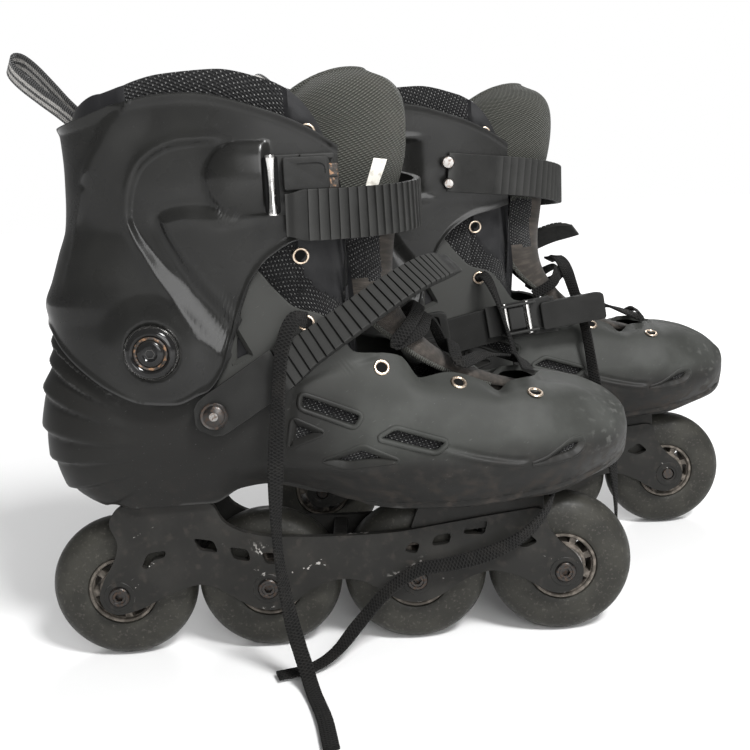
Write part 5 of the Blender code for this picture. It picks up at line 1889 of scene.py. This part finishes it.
def instep_buckle_base_mesh():
    """The inner side's strap with the ratchet's channel, its chromed pins and its spool."""
    path = smooth_path(INSTEP_BASE_LINE, 80)
    across = np.array([-0.2, 0, 0.98])
    length = path_length(path)

    def section(t):
        half = 11.5 * (0.72 + 0.28 * smooth_step(t, 0.0, 0.12))
        return strap_section(half, -1.5, 1.5, 1.0)
    lengths = np.linspace(0, length, 60)
    sections = np.array([section(s / length) for s in lengths])
    strap = slotted(strap_from(path, across, lengths, sections), 0)
    floor = slotted(block((-6, 50.0, 150), (36, 52.2, 170), 0.6), 1)
    walls = [slotted(block((2, 52.0, z), (26, 58.5, z + 1.8), 0.7), 1) for z in (150.2, 168.0)]
    bars = []
    for x, radius in ((6, 1.5), (20, 2.0)):
        bar = [(radius * 0.8, 149.2), (radius, 149.6), (radius, 170.4), (radius * 0.8, 170.8)]
        bars.append(slotted(upright_bar(x, 56.0, bar, 24), 2))
    tab = slotted(block((8, 53.2, 153), (18, 56.8, 167.5), 1.0), 1)
    rivet = turned([(0, 45.6), (4.6, 45.6), (4.6, 46.6), (3.8, 47.6), (0, 48.0)], 32, (-55, 143.5))
    rivet = slotted(rivet, 2)
    channel = about(merged([floor, *walls, *bars, tab]), (0, 50, 157), -8, "Y")
    return merged([strap, channel, rivet])


def instep_buckle_lever_mesh():
    """The instep ratchet's lever, standing open towards the toe, hollow underneath."""
    outline = rounded([(29, 153), (70, 153), (70, 169.5), (66, 171), (29, 171)], 2.2, 4)
    body = prism(outline, 53, 57)
    hollow = prism(rounded([(36, 156), (65, 156), (65, 168), (36, 168)], 2, 3), 51, 55)
    body = bevelled(cut(body, [hollow]), 0.8, 3, 50)
    notches = [block((x, 56.4, 170.2), (x + 3, 57.4, 172.2), 0.3) for x in (48, 60)]
    return about(cut(body, notches), (28, 53, 157), -8, "Y")


def make_straps():
    """Both ladder straps, their screws, and both ratchet buckles."""
    place("cuff_ladder", cuff_strap_mesh(), "cuff_strap", [STRAP_PLASTIC], ["cuff_ladder_strap"],
          crease=28)
    place("cuff_ladder_pins", cuff_strap_pin(), "cuff_strap", [STEEL])
    place("instep_ladder", instep_strap_mesh(), "instep_strap", [STRAP_PLASTIC], ["instep_ladder_strap"],
          crease=28)
    place("instep_screw", screw_mesh(), "skate", [STEEL, DARK_STEEL], ["instep_strap_screw"])
    place("cuff_ratchet_base", cuff_buckle_base_mesh(), "cuff",
          [BUCKLE_PLASTIC, CHROME, RUSTY_RING, PAINTED_SHADE_BLACK], ["cuff_buckle_base"])
    place("cuff_ratchet_lever", cuff_buckle_lever_mesh(), "cuff_lever", [BUCKLE_PLASTIC],
          ["cuff_buckle_lever"])
    place("instep_ratchet_base", instep_buckle_base_mesh(), "instep_buckle",
          [STRAP_PLASTIC, BUCKLE_PLASTIC, CHROME], ["instep_buckle_base"])
    place("instep_ratchet_lever", instep_buckle_lever_mesh(), "instep_lever", [STRAP_PLASTIC],
          ["instep_buckle_lever"])


# ---------------------------------------------------------------- everything
set_camera()
set_stage()
make_laces()
make_wheels()
make_frame()
make_shell()
make_cuff()
make_liner()
make_tongue()
make_straps()
